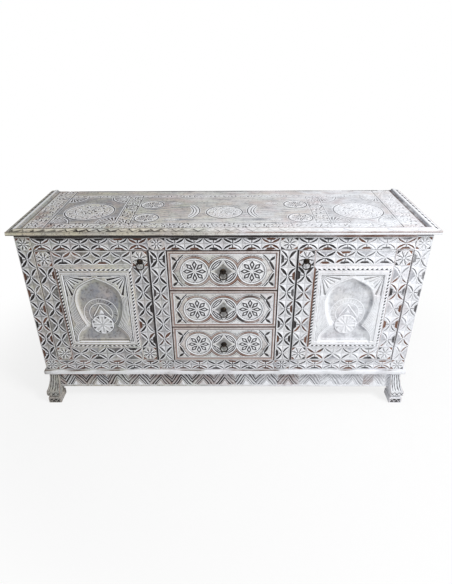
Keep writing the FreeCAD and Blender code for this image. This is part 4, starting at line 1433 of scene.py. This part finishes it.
def upright_boards(c, count):
    """Plain upright boards side by side: a groove along each joint and shallow marks of the plane."""
    span = c.a.max() - c.a.min()
    place = (c.a - c.a.min()) / span * count
    board = np.floor(np.clip(place, 0.001, count - 0.001))
    no_joint = 1e3 * ((place < 0.5) | (place > count - 0.5))
    joint = np.abs((place + 0.5) % 1 - 0.5) * span / count + no_joint
    c.cut(line_cut(joint, 6), 1.6, 0.85)
    c.sink(0.35 + 0.35 * np.sin(c.a / 9 + 7 * board + 2 * c.drift(500, 71)))
    c.sink(0.5 * line_cut(joint, 16))
    c.grey_and_shade(chance(board, c.seed) * (0.5 + 0.5 * drift(c.a * 3, c.b, 300, 72)))
    c.rub_and_brown_shade(0.75 * line_cut(joint, 22) * ramp(c.drift(160, 73), 0.0, 0.5))


def finish_plain_boards():
    """Upright boards on the sides and back, and bare wood inside."""
    for k, (name, side) in enumerate(SIDES.items()):
        node = f"side_plank_{name}"
        carved_board(f"{node}_boards", *box_mm(node), lambda c: upright_boards(c, 3),
                     limed_wood("limed_wood_side", "z", 0.4, 1.1, 0.4, 0.25), "carcass", node,
                     grid=2.6, seed=80 + k, turn=side)
    carved_board("back_panel_boards", *box_mm("back_panel"), lambda c: upright_boards(c, 9),
                 bare_wood("upright_boards", "z"), "carcass", "back_panel",
                 grid=3.6, seed=83, turn=2, slot="bare_wood")
    plain = [f"partition_{n}" for n in SIDES] + [f"drawer_divider_{n}" for n in DRAWERS]
    plain += [f"drawer_{n}_{part}" for n in DRAWERS for part in ("side_left", "side_right", "back", "bottom")]
    finish_plain_nodes(plain, bare_wood("plain_boards"))


def finish_ring_pulls():
    """Dark iron on the roses and rings."""
    pulls = [f"door_{n}" for n in SIDES] + [f"drawer_{n}" for n in DRAWERS]
    finish_plain_nodes([f"{p}_{part}" for p in pulls for part in ("rose", "ring")], dark_iron("forged_iron"))


def lay_floor():
    """A white floor that takes shadows near the sideboard and fades into the white behind it."""
    mesh = bpy.data.meshes.new("studio_floor")
    points = [(0, 0, 0)]
    for radius in FLOOR_RINGS:
        for k in range(FLOOR_SPOKES):
            turn = k * math.tau / FLOOR_SPOKES
            points.append((radius * math.cos(turn), radius * math.sin(turn), 0))
    spokes = [(k, (k + 1) % FLOOR_SPOKES) for k in range(FLOOR_SPOKES)]
    faces = [(0, 1 + k, 1 + n) for k, n in spokes]
    for ring in range(len(FLOOR_RINGS) - 1):
        a, b = 1 + ring * FLOOR_SPOKES, 1 + (ring + 1) * FLOOR_SPOKES
        faces += [(a + k, b + k, b + n, a + n) for k, n in spokes]
    mesh.from_pydata(points, [], faces)
    floor = bpy.data.objects.new("studio_floor", mesh)
    bpy.context.collection.objects.link(floor)
    pot = Pot(bpy.data.materials.new("studio_floor"))
    spot = pot.place()
    away_from = pot.node("ShaderNodeVectorMath", {"operation": "LENGTH"}, {0: spot}, "Value")
    seen = pot.node("ShaderNodeLightPath", output="Is Camera Ray")
    mirrored = pot.node("ShaderNodeLightPath", output="Is Glossy Ray")
    paper = pot.node("ShaderNodeBsdfDiffuse", None, {"Color": (0.82, 0.82, 0.82, 1)})
    white = pot.node("ShaderNodeEmission", None, {"Color": (1, 1, 1, 1), "Strength": 1.0})
    share = (seen + mirrored) * (0.8 + 0.2 * pot.between(away_from, *FLOOR_FADE))
    mixed = pot.node("ShaderNodeMixShader", None, {0: share, 1: paper, 2: white})
    pot.node("ShaderNodeOutputMaterial", None, {"Surface": mixed})
    mesh.materials.append(pot.owner)


def light_sky(settings):
    """White to the camera and a weak even light to everything else."""
    world = bpy.data.worlds.new("studio_sky")
    bpy.context.scene.world = world
    pot = Pot(world)
    seen = pot.node("ShaderNodeLightPath", output="Is Camera Ray")
    strength = pot.node("ShaderNodeMapRange", None, {"Value": seen, "To Min": settings.sky, "To Max": 1.0})
    back = pot.node("ShaderNodeBackground", None, {"Color": (1, 1, 1, 1), "Strength": strength})
    pot.node("ShaderNodeOutputWorld", None, {"Surface": back})


def hang_lamps(settings):
    """The lamp over the right shoulder and the weak one in front."""
    for name, power, spot, aim, size in LAMPS:
        light = bpy.data.lights.new(name, "AREA")
        light.shape, (light.size, light.size_y), light.energy = "RECTANGLE", size, getattr(settings, power)
        lamp = bpy.data.objects.new(name, light)
        lamp.location = spot
        lamp.rotation_euler = (Vector(aim) - Vector(spot)).to_track_quat("-Z", "Y").to_euler()
        bpy.context.collection.objects.link(lamp)


def place_camera(settings):
    """The camera as it stood for the photograph."""
    eye = bpy.data.cameras.new("photo_camera")
    eye.lens, eye.sensor_width, eye.sensor_fit = settings.lens, SENSOR_WIDTH, "AUTO"
    eye.clip_end = 200
    camera = bpy.data.objects.new("photo_camera", eye)
    camera.matrix_world = (Matrix.Translation(EYE_PLACE) @ Matrix.Rotation(EYE_PAN, 4, "Z")
                           @ Matrix.Rotation(math.pi / 2 - settings.pitch, 4, "X")
                           @ Matrix.Rotation(EYE_ROLL, 4, "Z"))
    bpy.context.collection.objects.link(camera)
    bpy.context.scene.camera = camera
    bpy.context.scene.view_settings.view_transform = "Standard"


def build_stage():
    """The white floor, the sky, the lamps and the camera."""
    settings = bpy.context.scene.sideboard_studio
    lay_floor()
    light_sky(settings)
    hang_lamps(settings)
    place_camera(settings)


class SIDEBOARD_OT_posts_and_rails(bpy.types.Operator):
    """Carve the star bands of the posts and of the two long rails"""
    bl_idname = "sideboard.posts_and_rails"
    bl_label = "Posts and rails"

    def execute(self, context):
        carve_posts_and_rails()
        return {"FINISHED"}


class SIDEBOARD_OT_doors(bpy.types.Operator):
    """Carve both doors: frames, rope-notched panels and keyhole niches"""
    bl_idname = "sideboard.doors"
    bl_label = "Doors"

    def execute(self, context):
        carve_doors()
        return {"FINISHED"}


class SIDEBOARD_OT_drawer_fronts(bpy.types.Operator):
    """Carve the three drawer fronts"""
    bl_idname = "sideboard.drawer_fronts"
    bl_label = "Drawer fronts"

    def execute(self, context):
        carve_drawers()
        return {"FINISHED"}


class SIDEBOARD_OT_top(bpy.types.Operator):
    """Carve the sunk top panel"""
    bl_idname = "sideboard.top"
    bl_label = "Top panel"

    def execute(self, context):
        carve_top()
        return {"FINISHED"}


class SIDEBOARD_OT_top_mouldings(bpy.types.Operator):
    """Run and carve the three mouldings round the top"""
    bl_idname = "sideboard.top_mouldings"
    bl_label = "Top mouldings"

    def execute(self, context):
        carve_top_mouldings()
        return {"FINISHED"}


class SIDEBOARD_OT_base(bpy.types.Operator):
    """Nose the base board and carve the apron under it"""
    bl_idname = "sideboard.base"
    bl_label = "Base board and apron"

    def execute(self, context):
        round_base_board()
        carve_apron()
        return {"FINISHED"}


class SIDEBOARD_OT_feet(bpy.types.Operator):
    """Carve the four feet"""
    bl_idname = "sideboard.feet"
    bl_label = "Feet"

    def execute(self, context):
        carve_feet()
        return {"FINISHED"}


class SIDEBOARD_OT_plain_boards(bpy.types.Operator):
    """Finish the plain boards: side planks, back, partitions and drawer boxes"""
    bl_idname = "sideboard.plain_boards"
    bl_label = "Plain boards"

    def execute(self, context):
        finish_plain_boards()
        return {"FINISHED"}


class SIDEBOARD_OT_ring_pulls(bpy.types.Operator):
    """Finish the iron roses and rings"""
    bl_idname = "sideboard.ring_pulls"
    bl_label = "Ring pulls"

    def execute(self, context):
        finish_ring_pulls()
        return {"FINISHED"}


class SIDEBOARD_OT_stage(bpy.types.Operator):
    """Set the white floor, the lamps and the camera"""
    bl_idname = "sideboard.stage"
    bl_label = "Studio"

    def execute(self, context):
        build_stage()
        return {"FINISHED"}


OPERATORS = (SIDEBOARD_OT_posts_and_rails, SIDEBOARD_OT_doors, SIDEBOARD_OT_drawer_fronts, SIDEBOARD_OT_top,
             SIDEBOARD_OT_top_mouldings, SIDEBOARD_OT_base, SIDEBOARD_OT_feet, SIDEBOARD_OT_plain_boards,
             SIDEBOARD_OT_ring_pulls, SIDEBOARD_OT_stage)


class SIDEBOARD_PT_panel(bpy.types.Panel):
    """Lists the pieces of the sideboard and their settings"""
    bl_label = "Carved sideboard"
    bl_idname = "SIDEBOARD_PT_panel"
    bl_space_type = "VIEW_3D"
    bl_region_type = "UI"
    bl_category = "Sideboard"

    def draw(self, context):
        for operator in OPERATORS:
            self.layout.operator(operator.bl_idname)
        for group in (context.scene.sideboard_carving, context.scene.sideboard_finish,
                      context.scene.sideboard_studio):
            box = self.layout.box()
            for key in group.bl_rna.properties.keys():
                if key not in ("rna_type", "name"):
                    box.prop(group, key)


CLASSES = (CarvingSizes, FinishColours, StudioSettings, *OPERATORS, SIDEBOARD_PT_panel)


def register():
    for cls in CLASSES:
        bpy.utils.register_class(cls)
    bpy.types.Scene.sideboard_carving = bpy.props.PointerProperty(type=CarvingSizes)
    bpy.types.Scene.sideboard_finish = bpy.props.PointerProperty(type=FinishColours)
    bpy.types.Scene.sideboard_studio = bpy.props.PointerProperty(type=StudioSettings)


def unregister():
    del bpy.types.Scene.sideboard_studio
    del bpy.types.Scene.sideboard_finish
    del bpy.types.Scene.sideboard_carving
    for cls in reversed(CLASSES):
        bpy.utils.unregister_class(cls)


def main():
    register()
    for operator in OPERATORS:
        group, name = operator.bl_idname.split(".")
        getattr(getattr(bpy.ops, group), name)()


if __name__ == "__main__":
    main()
